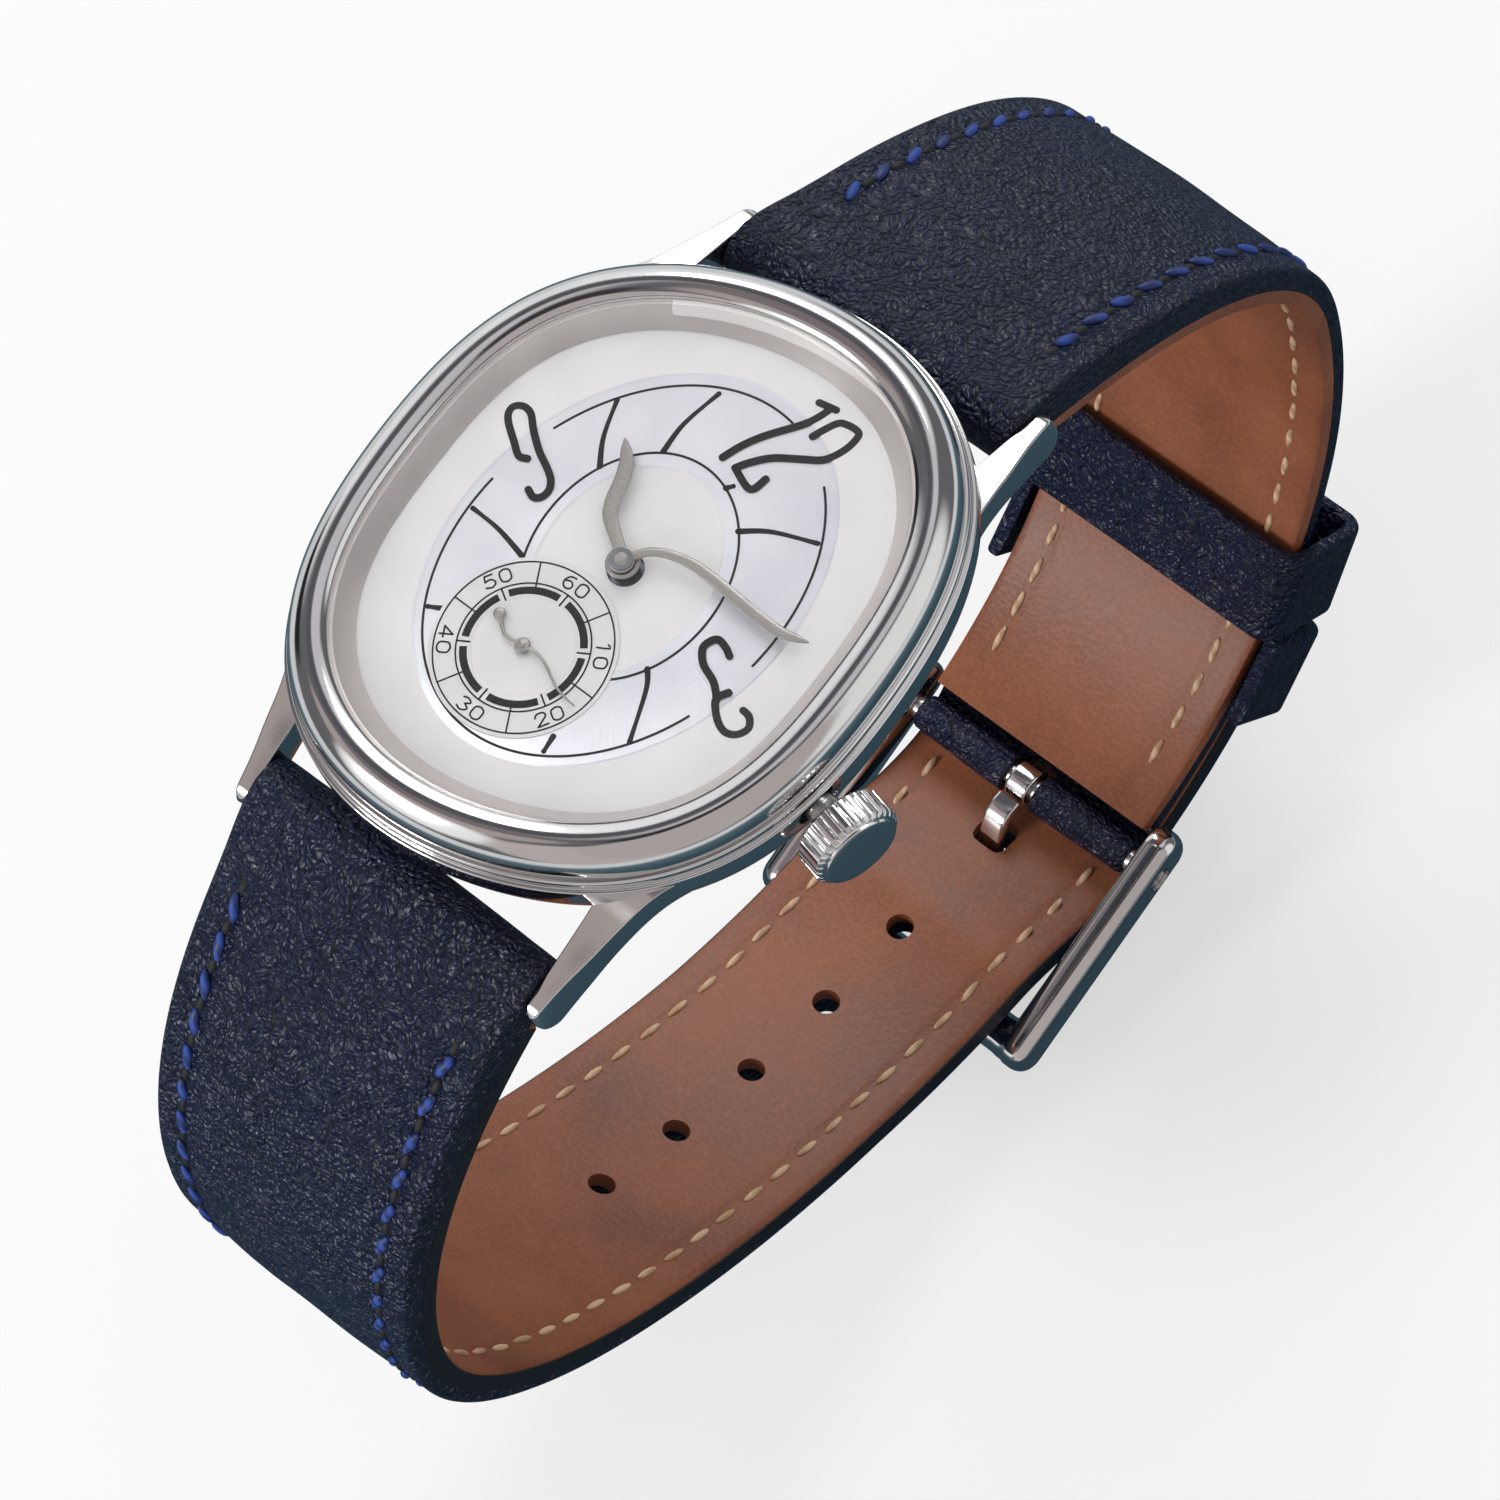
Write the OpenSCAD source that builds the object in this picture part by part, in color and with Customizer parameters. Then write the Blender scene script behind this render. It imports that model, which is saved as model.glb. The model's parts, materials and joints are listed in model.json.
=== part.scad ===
// Hand-wound wristwatch with a leaning cushion case, small seconds and a closed leather strap.
// Millimetres. +Z out of the dial, +Y to the strap's 12 o'clock half, +X to the crown side.
// The origin is the middle of the case back's outer face, on the hands' axis.

/* [Case] */
// Mean radius of the case band
case_r = 18.25; // [17.9:0.05:18.8]
// Growth of every head outline along its long axis
stretch = 1.2; // [0.8:0.05:1.3]
// Clockwise lean of the long axis, degrees
lean = 8.5; // [4:0.5:12]
// Swell of the four corners
corner_swell = 0.42; // [0.2:0.02:0.6]
// Direction of the first corner from 3 o'clock, degrees
corner_dir = 56; // [50:1:60]
// Thickness of the case back
back_t = 0.9; // [0.7:0.05:1.1]
// Height of the case band between back and bezel
band_h = 5.3; // [5.2:0.05:5.6]
// Wall of the case round the movement space
case_wall = 3.5; // [3:0.05:3.6]
// Width of the step between band and bezel
tier_w = 0.25; // [0.15:0.05:0.4]
// Height of that step
tier_h = 0.75; // [0.6:0.05:0.9]

/* [Bezel and crystal] */
// Inset of the bezel's foot from the band
bezel_inset = 0.5; // [0.4:0.05:0.7]
// Width of the polished bezel
bezel_w = 2.3; // [2.1:0.05:2.5]
// Height of the bezel's crest over its foot
bezel_h = 2.3; // [2.1:0.05:2.6]
// Rise of the crystal's dome
dome_h = 0.9; // [0.5:0.05:1.2]
// Thickness of the crystal at its edge
crystal_t = 0.5; // [0.4:0.05:0.6]
// Thickness of the gasket round the crystal
gasket_t = 0.3; // [0.2:0.05:0.35]

/* [Lugs] */
// Distance from the end of the case band to a lug's tip
lug_reach = 2.3; // [2:0.05:3]
// Width of a lug at its tip
lug_tip_w = 1.25; // [1.1:0.05:1.5]
// Height of a lug at its tip
lug_tip_h = 2.35; // [2.2:0.05:2.6]
// Height of the spring bars over the case back
lug_bar_z = 0.8; // [0.6:0.05:1]
// Distance of the spring bars from the lug tips
lug_bar_in = 1.65; // [1.5:0.05:1.8]

/* [Dial] */
// Clockwise turn of dial and movement against the strap, degrees
head_turn = 12; // [4:1:14]
// Thickness of the dial plate
dial_t = 0.5; // [0.4:0.05:0.55]
// Half width of the outer oval
oval_w = 9.25; // [8.8:0.05:9.6]
// Half length of the outer oval
oval_l = 12.05; // [11.6:0.05:12.3]
// Half width of the inner oval
inner_w = 5.6; // [5.2:0.05:6]
// Half length of the inner oval
inner_l = 6.85; // [6.5:0.05:7.2]
// Clockwise lean of the inner oval, degrees
inner_lean = -8; // [-12:0.5:0]
// Depth of the step down inside the inner oval
inner_step = 0.12; // [0.05:0.01:0.2]
// Radius of the small seconds dial
sub_r = 5; // [4.6:0.05:5.1]
// Distance of the small seconds from the hands' axis
sub_out = 6.9; // [6.8:0.05:7]
// Width of the slanted flange round the dial
flange_w = 1.1; // [0.9:0.05:1.2]
// Thickness of the printed ink
ink_t = 0.03; // [0.02:0.01:0.05]
// Gap between printed lines that end at each other
ink_gap = 0.05; // [0.03:0.01:0.1]
// Stroke of the large numerals
numeral_stroke = 0.34; // [0.25:0.01:0.42]
// Stroke of the hour lines
hour_stroke = 0.26; // [0.15:0.01:0.35]
// Stroke of the thin ovals and circles
line_stroke = 0.1; // [0.08:0.01:0.14]

/* [Hands] */
// Length of the minute hand
minute_len = 11.5; // [10.5:0.1:11.8]
// Length of the hour hand
hour_len = 7.3; // [6.5:0.1:7.8]
// Length of the seconds hand
second_len = 4.7; // [4.2:0.1:4.8]
// Length of the seconds hand's tail
second_tail = 2.3; // [2:0.1:2.5]
// Bearing of the minute hand, clockwise from the strap's 12
minute_bearing = 78; // [0:1:359]
// Bearing of the hour hand
hour_bearing = 320; // [0:1:359]
// Bearing of the seconds hand
second_bearing = 102; // [0:1:359]
// Thickness of the hands
hand_t = 0.14; // [0.1:0.01:0.16]

/* [Crown] */
// Diameter of the crown over its flutes
crown_d = 5.4; // [5:0.1:5.6]
// Length of the crown
crown_len = 2.4; // [2.2:0.1:2.8]
// Gap between case and crown, where the tube shows
crown_gap = 0.75; // [0.5:0.05:1]
// Height of the stem over the case back's face
stem_z = 3.3; // [3.2:0.05:3.4]
// Number of flutes
flutes = 30; // [24:1:36]
// Travel of the crown when it is pulled
crown_pull = 0.8; // [0.5:0.05:0.8]
// Radius of the crown tube
tube_r = 0.95; // [0.9:0.01:1]
// Radius of the winding stem
stem_r = 0.42; // [0.38:0.01:0.45]

/* [Movement] */
// Mean width of the ring between the main plate and the case
ring_w = 2.9; // [2.7:0.05:2.95]
// Thickness of the main plate
plate_t = 1.8; // [1.6:0.05:1.85]
// Thickness of the bridges
bridge_t = 0.5; // [0.4:0.05:0.55]
// Radius of the jewels
jewel_r = 0.42; // [0.38:0.01:0.46]
// Radius of the train arbors
arbor_r = 0.14; // [0.1:0.01:0.15]
// Radius of the balance rim in the movement's plan
balance_r = 3.6; // [3.3:0.05:3.7]
// Turns of the mainspring
spring_turns = 9; // [6:1:10]
// Turns of the hairspring
hair_turns = 8; // [5:1:9]

/* [Strap] */
// Width of the strap between the lugs
strap_w = 20; // [19:0.1:20.4]
// Width of the strap at the buckle
strap_end_w = 16.5; // [16:0.1:17.2]
// Length along which the strap narrows
taper_len = 78; // [60:1:90]
// Thickness of the padded strap at the lugs
strap_lug_t = 4; // [3.7:0.05:4.1]
// Thickness of the flat strap
strap_t = 2.4; // [2.2:0.05:2.6]
// Length of the padded stretch
pad_len = 36; // [28:1:42]
// Thickness of the lining
lining_t = 1; // [0.8:0.05:1.1]
// Length of the buckle half, from bar to bar
half_12_len = 79.8; // [78:0.2:82]
// Length of the tail past the buckle bar
tail_len = 26; // [24:0.5:28]
// Distance between strap holes
hole_pitch = 6.8; // [6.4:0.1:7]
// Diameter of a strap hole
hole_d = 1.7; // [1.4:0.1:2]
// Number of strap holes on the lug side of the tongue
free_holes = 5; // [4:1:6]

/* [Wrist loop] */
// Half length of the loop, from 6 side to 12 side
loop_half = 38.8; // [38:0.1:39.6]
// Offset of the loop's middle towards 12
loop_mid_y = 3.15; // [2.5:0.05:3.8]
// Depth of the loop's widest place under the case back
loop_mid_z = 24.1; // [23:0.1:25]
// Depth of the loop's lower half
loop_drop = 34; // [32.5:0.1:35]
// Bulge of the lower half towards the buckle
loop_bulge = 0.2; // [0.14:0.01:0.24]

/* [Buckle and keepers] */
// Distance from the buckle bar to the front bar
buckle_len = 12.1; // [11.5:0.1:12.8]
// Distance from the buckle bar to the middle of the arm's rounded back end
arm_back = 1.4; // [0.8:0.1:1.8]
// Radius of the rounded side arms
arm_r = 1.45; // [1.35:0.05:1.6]
// Width of a side arm
arm_w = 1.9; // [1.6:0.05:2.2]
// Radius of the front bar
front_r = 1.3; // [1.1:0.05:1.4]
// Width of the tongue
tongue_w = 1.6; // [1.4:0.05:1.8]
// Thickness of the tongue
tongue_t = 1; // [0.8:0.05:1.1]
// Radius of the spring bars and the buckle bar
bar_r = 0.75; // [0.65:0.01:0.8]
// Radius of the leather rolled round the buckle bar
buckle_roll_r = 1.25; // [1.2:0.05:1.4]
// Length of the fixed keeper along the strap
fixed_keeper_len = 6; // [5.5:0.1:6.5]
// Length of the free keeper along the strap
free_keeper_len = 6.4; // [6:0.1:6.8]
// Thickness of the keeper leather
keeper_t = 0.9; // [0.8:0.05:1.2]
// Radius of the keepers' outer corners
keeper_round = 1.5; // [1.1:0.1:1.8]
// Further slack of the free keeper under the lining
keeper_slack = 0.2; // [0.15:0.05:0.4]
// Gap between the two keepers
keeper_gap = 0.35; // [0.3:0.05:0.6]
// Distance from the buckle bar to the fixed keeper's middle
keeper_out = 13.4; // [13:0.1:14]

/* [Fits] */
// Radial clearance of turning pieces
run_gap = 0.05; // [0.03:0.005:0.06]
// Clearance between pieces that stay together
seat_gap = 0.03; // [0.02:0.005:0.04]
// Clearance between leather layers that can shift
leather_gap = 0.3; // [0.25:0.01:0.4]
// Clearance of the tongue in its hole
tongue_gap = 0.4; // [0.35:0.01:0.5]

/* [Hidden] */
$fn = 48;
sides = 72;

// Heights over the case back's outer face
band_z = back_t;
bezel_z = band_z + band_h;
crest_z = bezel_z + bezel_h;
rim_z = crest_z - 0.5;
crystal_z = rim_z - crystal_t;
dial_z = bezel_z + 0.1;
plate_z = dial_z - dial_t - 0.9;
plate_foot_z = plate_z - plate_t;
bridge_z = plate_foot_z - 1.25;
bridge_foot_z = bridge_z - bridge_t;

// Mean radii of the head's outlines
cavity_r = case_r - case_wall;
bezel_foot_r = case_r - bezel_inset;
rim_r = bezel_foot_r - bezel_w;
crystal_r = rim_r - 0.15;
flange_foot_r = crystal_r - flange_w - 0.3;
dial_r = cavity_r - seat_gap;

// Main plate, and its size against the plan in which the movement's places are given
plate_d = 2 * (cavity_r - ring_w);
plan_d = 23.7;
plan_scale = plate_d / plan_d;
foot_r = plate_d / 2 - 0.85;

// Strap and loop
lug_gap = strap_w + 0.4;
lug_span = 2 * (case_r + stretch + lug_reach);
lug_bar_y = lug_span / 2 - lug_bar_in;
roll_r = strap_lug_t / 2;
lap = strap_t + 0.15;
free_keeper_out = keeper_out + (fixed_keeper_len + free_keeper_len) / 2 + keeper_gap;

// Hand heights
second_z = dial_z + 0.25;
hour_z = dial_z + 0.6;
minute_z = hour_z + hand_t + 0.16;
cap_z = minute_z + hand_t + 0.12;

// Outline of the head at one mean radius
function rim(r, a) = r + stretch * cos(2 * (a - 90 + lean)) + corner_swell * cos(4 * (a - corner_dir));
function dir(a) = [cos(a), sin(a)];
function bearing(a) = [sin(a), cos(a)];
function outline(r, n = sides) = [for (i = [0:n - 1]) rim(r, 360 * i / n) * dir(360 * i / n)];

// Smooth curve through a few points, and a band of changing width along it
function spline(p, u) =
    let (n = len(p), i = min(floor(u), n - 2), t = u - i,
        a = p[max(i - 1, 0)], b = p[i], c = p[i + 1], d = p[min(i + 2, n - 1)])
    0.5 * (2 * b + (c - a) * t + (2 * a - 5 * b + 4 * c - d) * t * t + (3 * b - a - 3 * c + d) * t * t * t);
function smooth(p, steps = 6) = [for (k = [0:(len(p) - 1) * steps]) spline(p, k / steps)];
function unit(v) = v / norm(v);
function side(p, i) =
    let (d = unit(p[min(i + 1, len(p) - 1)] - p[max(i - 1, 0)])) [-d[1], d[0]];
function band(p, w) = concat(
    [for (i = [0:len(p) - 1]) p[i] + side(p, i) * w(i / (len(p) - 1)) / 2],
    [for (i = [len(p) - 1:-1:0]) p[i] - side(p, i) * w(i / (len(p) - 1)) / 2]);
function ease(t) = let (u = min(max(t, 0), 1)) u * u * (3 - 2 * u);

// Wrist loop: a lopsided ellipse in the YZ plane that passes through both spring bars
c_12 = (lug_bar_y - loop_mid_y) / loop_half;
c_6 = (-lug_bar_y - loop_mid_y) / loop_half;
s_12 = sqrt(1 - c_12 * c_12);
s_6 = sqrt(1 - c_6 * c_6);
top_lean = (s_12 - s_6) / (c_12 * s_12 - c_6 * s_6);
top_rise = (lug_bar_z + loop_mid_z) / (s_12 * (1 - top_lean * c_12));
function loop_at(t) = [loop_mid_y + loop_half * cos(t),
    -loop_mid_z + (sin(t) > 0 ? top_rise * sin(t) * (1 - top_lean * cos(t))
        : loop_drop * sin(t) * (1 + loop_bulge * cos(t)))];
loop_steps = 240;
loop_start = acos(c_12);
loop_sweep = 360 + loop_start - acos(c_6);
loop_t = [for (i = [0:loop_steps]) loop_start - loop_sweep * i / loop_steps];
loop_s = [for (i = 0, s = 0; i <= loop_steps;
    s = s + norm(loop_at(loop_t[min(i + 1, loop_steps)]) - loop_at(loop_t[i])), i = i + 1) s];
loop_table = [for (i = [0:loop_steps]) [loop_s[i], loop_t[i]]];
loop_len = loop_s[loop_steps];
function heading(s) = let (t = lookup(s, loop_table)) unit(loop_at(t - 0.5) - loop_at(t + 0.5));
function outward(s) = let (h = heading(s)) [-h[1], h[0]];
function on_loop(s, n) = loop_at(lookup(s, loop_table)) + n * outward(s);

// Strap sizes along each half, from its spring bar
function total_t(u) = strap_t + (strap_lug_t - strap_t) * (1 - ease(u / pad_len));
function half_w(u) = strap_w / 2 - (strap_w - strap_end_w) / 2 * min(u / taper_len, 1);
half_6_len = loop_len - half_12_len + tail_len;
function lap_at(s) = lap * ease((half_12_len + buckle_len - 1.5 - s) / (buckle_len - 2));
function tip_w(u) =
    let (v = max(u - (half_6_len - 9), 0) / 9) half_w(u) * sqrt(max(1 - v * v, 0.02));

// Buckle places in the YZ plane
buckle_bar_at = on_loop(half_12_len, roll_r - buckle_roll_r);
front_bar_at = on_loop(half_12_len + buckle_len, roll_r + leather_gap + front_r);
tongue_path = smooth([buckle_bar_at,
    on_loop(half_12_len + 2.4, roll_r - 1.8),
    on_loop(half_12_len + 4.2, roll_r + lap_at(half_12_len + 4.2) - 1.2),
    on_loop(half_12_len + 6, roll_r + lap_at(half_12_len + 6) + leather_gap + tongue_t / 2),
    on_loop(half_12_len + buckle_len - 2.6, roll_r + leather_gap + 2 * front_r + tongue_t / 2 - 0.5),
    on_loop(half_12_len + buckle_len, roll_r + leather_gap + 2 * front_r + tongue_t / 2 + 0.02),
    on_loop(half_12_len + buckle_len + 1.1, roll_r + leather_gap + 2 * front_r + tongue_t / 2 + 0.05)]);

// Movement places, with the dial's 12 at the top
barrel_at = plan_scale * [2.98, 4.57];
crown_wheel_at = plan_scale * [7.6, 0];
third_at = plan_scale * [1.925, -4.068];
fourth_at = [0, -sub_out];
escape_out = plan_scale * 3.08;
escape_at = fourth_at + escape_out * dir(160);
balance_at = plan_scale * [-7.2, -0.8];
pallet_at = escape_at + plan_scale * 2.55 * unit(balance_at - escape_at);
minute_wheel_out = 2.4;
minute_wheel_at = minute_wheel_out * dir(60);
sub_at = sub_out * bearing(180 + head_turn);

// Radius of the crown wheel's face teeth
crown_face_r = 1.6;

// Gear modules: barrel drive, centre, third, fourth, winding and motion work
m_barrel = norm(barrel_at) / 42;
m_centre = norm(third_at) / 45;
m_third = norm(fourth_at - third_at) / 42.5;
m_fourth = escape_out / 38.5;
m_ratchet = norm(barrel_at - crown_wheel_at) / 32.5;
m_cannon = minute_wheel_out / 24;
m_hour = minute_wheel_out / 25;

// Inner end of the winding stem
stem_end = crown_wheel_at[0] - 0.2;

// Tube with a straight bore
module tube(r_out, r_in, h) {
    difference() {
        cylinder(r = r_out, h = h);
        translate([0, 0, -1]) cylinder(r = r_in, h = h + 2);
    }
}

// Closed ring whose section [mean radius, height] follows the head's outline
module head_ring(section) {
    m = len(section);
    pts = [for (i = [0:sides - 1], q = section)
        let (a = 360 * i / sides) [rim(q[0], a) * cos(a), rim(q[0], a) * sin(a), q[1]]];
    faces = [for (i = [0:sides - 1], j = [0:m - 1], k = [0, 1])
        let (i2 = (i + 1) % sides, j2 = (j + 1) % m)
        k == 0 ? [i * m + j, i * m + j2, i2 * m + j2] : [i * m + j, i2 * m + j2, i2 * m + j]];
    polyhedron(pts, faces, convexity = 6);
}

// Slab with the head's outline
module head_slab(r, z0, z1) {
    translate([0, 0, z0]) linear_extrude(z1 - z0) polygon(outline(r));
}

// Body swept through rings of points, closed at both ends
module sweep(rings) {
    m = len(rings[0]);
    n = len(rings);
    pts = [for (r = rings, p = r) p];
    walls = [for (i = [0:n - 2], j = [0:m - 1], k = [0, 1])
        let (j2 = (j + 1) % m)
        k == 0 ? [i * m + j, (i + 1) * m + j2, i * m + j2] : [i * m + j, (i + 1) * m + j, (i + 1) * m + j2]];
    ends = [[for (j = [0:m - 1]) j], [for (j = [m - 1:-1:0]) (n - 1) * m + j]];
    polyhedron(pts, concat(walls, ends), convexity = 10);
}

// Places its children along the stem, with their Z on the stem's axis
module on_stem(x = 0) {
    rotate([0, 0, -head_turn]) translate([x, 0, stem_z]) rotate([0, 90, 0]) children();
}

// Turns its children with the movement and sets them at a place in it
module in_movement(p = [0, 0], z = 0) {
    rotate([0, 0, -head_turn]) translate([p[0], p[1], z]) children();
}

// Extrudes a YZ outline along X, half to each side
module across(w) {
    rotate([90, 0, 90]) linear_extrude(w, center = true) children();
}

// Cylinder along X through a YZ point
module bar_at(p, r, w) {
    translate([0, p[0], p[1]]) rotate([0, 90, 0]) cylinder(r = r, h = w, center = true);
}

// Gear outline with straight-flanked teeth
function gear_line(teeth, m) =
    [for (i = [0:teeth - 1], c = [[-0.32, -1.15], [-0.17, 0.75], [0.17, 0.75], [0.32, -1.15]])
        (teeth * m / 2 + c[1] * m) * dir(360 * (i + c[0]) / teeth)];

// Gear with its first tooth turned to a given direction
module gear(teeth, m, h, turn = 0) {
    rotate([0, 0, turn]) linear_extrude(h) polygon(gear_line(teeth, m));
}

// Wheel with round windows between its spokes
module spoked(teeth, m, h, turn, windows, hub) {
    r = teeth * m / 2 - 1.15 * m;
    w = (r - 0.35 - hub) / 2;
    difference() {
        gear(teeth, m, h, turn);
        for (k = [0:windows - 1]) {
            rotate([0, 0, 360 * k / windows]) translate([hub + w, 0, -1]) cylinder(r = w * 0.8, h = h + 2);
        }
    }
}

function aim(from, to) = atan2(to[1] - from[1], to[0] - from[0]);

// Section through one strap layer: outer face at n, rounded edges and a slight crown
function layer_ring(s, n, t, w, crown, round) =
    let (o = on_loop(s, 0), v = outward(s),
        line = [[-w, n - t], [-w, n - round - crown], [-w + round, n - crown], [-w / 2, n - crown * 0.2],
            [0, n], [w / 2, n - crown * 0.2], [w - round, n - crown], [w, n - round - crown], [w, n - t]])
    [for (q = line) [q[0], o[0] + v[0] * q[1], o[1] + v[1] * q[1]]];

// One case band with tapered foot, straight flank, step and movement space
module case_middle() {
    tip_y = lug_span / 2;
    tip_z = lug_bar_z + lug_tip_h * 0.42;
    foot_z = tip_z - lug_tip_h;
    inner_x = lug_gap / 2;
    tip_x = inner_x + lug_tip_w;
    edge = smooth([[tip_x, tip_y - 0.7], [tip_x + 0.22, tip_y - 3], [tip_x + 0.8, tip_y - 6.1],
        [tip_x + 1.8, tip_y - 9], [tip_x + 3, tip_y - 11.4], [tip_x + 3.4, tip_y - 12.4]], 4);
    plan = concat([[inner_x, tip_y - 13], [inner_x, tip_y - 0.5], [inner_x + 0.25, tip_y - 0.1],
        [inner_x + 0.55, tip_y], [tip_x - 0.4, tip_y], [tip_x - 0.1, tip_y - 0.25]], edge);
    top = smooth([[tip_y - 13, bezel_z - tier_h - 0.05], [tip_y - 9, bezel_z - tier_h - 0.45],
        [tip_y - 6, tip_z + 1.9], [tip_y - 3, tip_z + 0.85], [tip_y - 0.7, tip_z]], 4);
    low = smooth([[tip_y, tip_z - 0.7], [tip_y - 0.25, foot_z + 0.7], [tip_y - 1.2, foot_z],
        [tip_y - 3.4, foot_z + 0.75], [tip_y - 6, foot_z + 2], [tip_y - 9, foot_z + 3.5],
        [tip_y - 13, foot_z + 4.4]], 4);
    color("gainsboro") difference() {
        union() {
            head_ring([[cavity_r, band_z], [case_r - 1.75, band_z], [case_r - 1.25, band_z + 0.7],
                [case_r - 0.65, band_z + 1.7], [case_r - 0.15, band_z + 2.5], [case_r, band_z + 3],
                [case_r, bezel_z - tier_h - 0.3], [case_r - 0.1, bezel_z - tier_h],
                [case_r - tier_w, bezel_z - tier_h + 0.02], [case_r - tier_w, bezel_z - 0.25],
                [case_r - tier_w - 0.15, bezel_z], [cavity_r, bezel_z]]);
            for (sx = [0, 1], sy = [0, 1]) {
                mirror([sx, 0, 0]) mirror([0, sy, 0]) intersection() {
                    linear_extrude(bezel_z + 4, center = true) polygon(plan);
                    rotate([90, 0, 90]) linear_extrude(lug_gap) polygon(concat(top, low));
                }
            }
        }
        head_slab(cavity_r - 0.01, -2, bezel_z + 1);
        on_stem(cavity_r - 4) cylinder(r = tube_r + seat_gap, h = 12);
        for (sy = [-1, 1]) {
            bar_at([sy * lug_bar_y, lug_bar_z], 0.42, lug_gap + 1.6);
        }
    }
}

// Domed polished bezel with its inner lip
module bezel() {
    r = bezel_foot_r;
    seat = crystal_r + gasket_t + seat_gap;
    color("silver") head_ring([[seat, bezel_z], [r - 0.1, bezel_z], [r, bezel_z + 0.12],
        [r - 0.03, bezel_z + 0.7], [r - 0.22, bezel_z + 1.3], [r - 0.6, bezel_z + 1.82],
        [r - 1.15, crest_z - 0.07], [r - 1.6, crest_z], [rim_r + 0.32, crest_z - 0.2],
        [rim_r, rim_z + 0.12], [rim_r, rim_z + 0.02], [seat, rim_z + 0.02]]);
}

// Domed crystal, thin at its edge
module crystal() {
    rings = 7;
    function lift(f, z0, h) = z0 + h * (1 - f * f);
    function disc(f, z0, h, a) =
        let (r = rim(crystal_r, a) * f)
        [r * cos(a), r * sin(a), lift(f, z0, h)];
    m = 2 * rings;
    n = sides;
    steps = concat([for (k = [1:rings]) [k / rings, crystal_z, dome_h * 0.45]],
        [for (k = [rings:-1:1]) [k / rings, rim_z, dome_h]]);
    pts = concat([for (i = [0:n - 1], q = steps) disc(q[0], q[1], q[2], 360 * i / n)],
        [[0, 0, crystal_z + dome_h * 0.45], [0, 0, rim_z + dome_h]]);
    walls = [for (i = [0:n - 1], j = [0:m - 2], k = [0, 1])
        let (i2 = (i + 1) % n)
        k == 0 ? [i * m + j, i * m + j + 1, i2 * m + j + 1] : [i * m + j, i2 * m + j + 1, i2 * m + j]];
    caps = [for (i = [0:n - 1], k = [0, 1])
        let (i2 = (i + 1) % n)
        k == 0 ? [n * m, i * m, i2 * m] : [n * m + 1, i2 * m + m - 1, i * m + m - 1]];
    color("azure", 0.3) polyhedron(pts, concat(walls, caps), convexity = 4);
}

// Ring that holds the crystal in the bezel
module crystal_gasket() {
    inner = crystal_r + seat_gap;
    outer = crystal_r + gasket_t;
    top = rim_z - seat_gap;
    color("whitesmoke") head_ring([[inner, crystal_z - 0.1], [outer, crystal_z - 0.1], [outer, top], [inner, top]]);
}

// Slanted ring between dial and crystal
module inner_flange() {
    color("lightgray") head_ring([[flange_foot_r, dial_z + seat_gap], [crystal_r, dial_z + seat_gap],
        [crystal_r, crystal_z - seat_gap], [crystal_r - 0.3, crystal_z - seat_gap]]);
}

// Snap-on case back: flat outside, with an upstanding rim
module case_back() {
    top = band_z - seat_gap;
    profile = [[case_r - 2.5, 0], [case_r - 2.1, 0.35], [case_r - 2.1, top], [cavity_r - 0.35, top],
        [cavity_r - 0.35, band_z + 0.6], [cavity_r - 1, band_z + 0.6], [cavity_r - 1, top]];
    color("silver") sweep([for (q = profile) [for (p = outline(q[0])) [p[0], p[1], q[1]]]]);
}

// Gasket between the back's rim and the case wall
module case_back_gasket() {
    color("black") head_ring([[cavity_r - 0.32, band_z + 0.05], [cavity_r - 0.04, band_z + 0.05],
        [cavity_r - 0.04, band_z + 0.5], [cavity_r - 0.32, band_z + 0.5]]);
}

// Distance from the hands' axis to the case flank along the stem
flank_x = rim(case_r, -head_turn);
crown_x = flank_x + crown_gap;

// Tube that seals and guides the crown
module crown_tube() {
    color("silver") on_stem(cavity_r - 1.6) tube(tube_r, stem_r + run_gap, crown_x + 1.2 - cavity_r + 1.6);
}

// Fluted crown with a flat bevelled face
module crown() {
    r = crown_d / 2;
    body = [for (i = [0:flutes - 1], c = [[0.08, 0], [0.36, -0.17], [0.64, -0.17], [0.92, 0]])
        (r + c[1]) * dir(360 * (i + c[0]) / flutes)];
    color("silver") on_stem(crown_x) difference() {
        union() {
            intersection() {
                linear_extrude(crown_len - 0.2) polygon(body);
                rotate_extrude() polygon([[0, 0], [r - 0.45, 0], [r, 0.35], [r, crown_len - 0.5],
                    [r - 0.3, crown_len - 0.2], [0, crown_len - 0.2]]);
            }
            rotate_extrude() polygon([[0, crown_len - 0.3], [r - 0.35, crown_len - 0.3],
                [r - 0.35, crown_len - 0.12], [r - 0.5, crown_len], [0, crown_len]]);
        }
        translate([0, 0, -1]) cylinder(r = tube_r + 0.45, h = 2.4);
        translate([0, 0, -1]) cylinder(r = stem_r + seat_gap, h = 2.9);
    }
}

// Ring between crown and tube, which slides but need not turn
module crown_gasket() {
    color("black") on_stem(crown_x + 0.3) tube(tube_r + 0.4, tube_r + run_gap, 0.6);
}

// Stem from the crown into the movement
module winding_stem() {
    color("silver") on_stem(stem_end) cylinder(r = stem_r, h = crown_x + 1.8 - stem_end);
}

// Places of the two case clamps
clamp_turns = [70, 235];
clamp_r = plate_d / 2 + 1.2;

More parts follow.
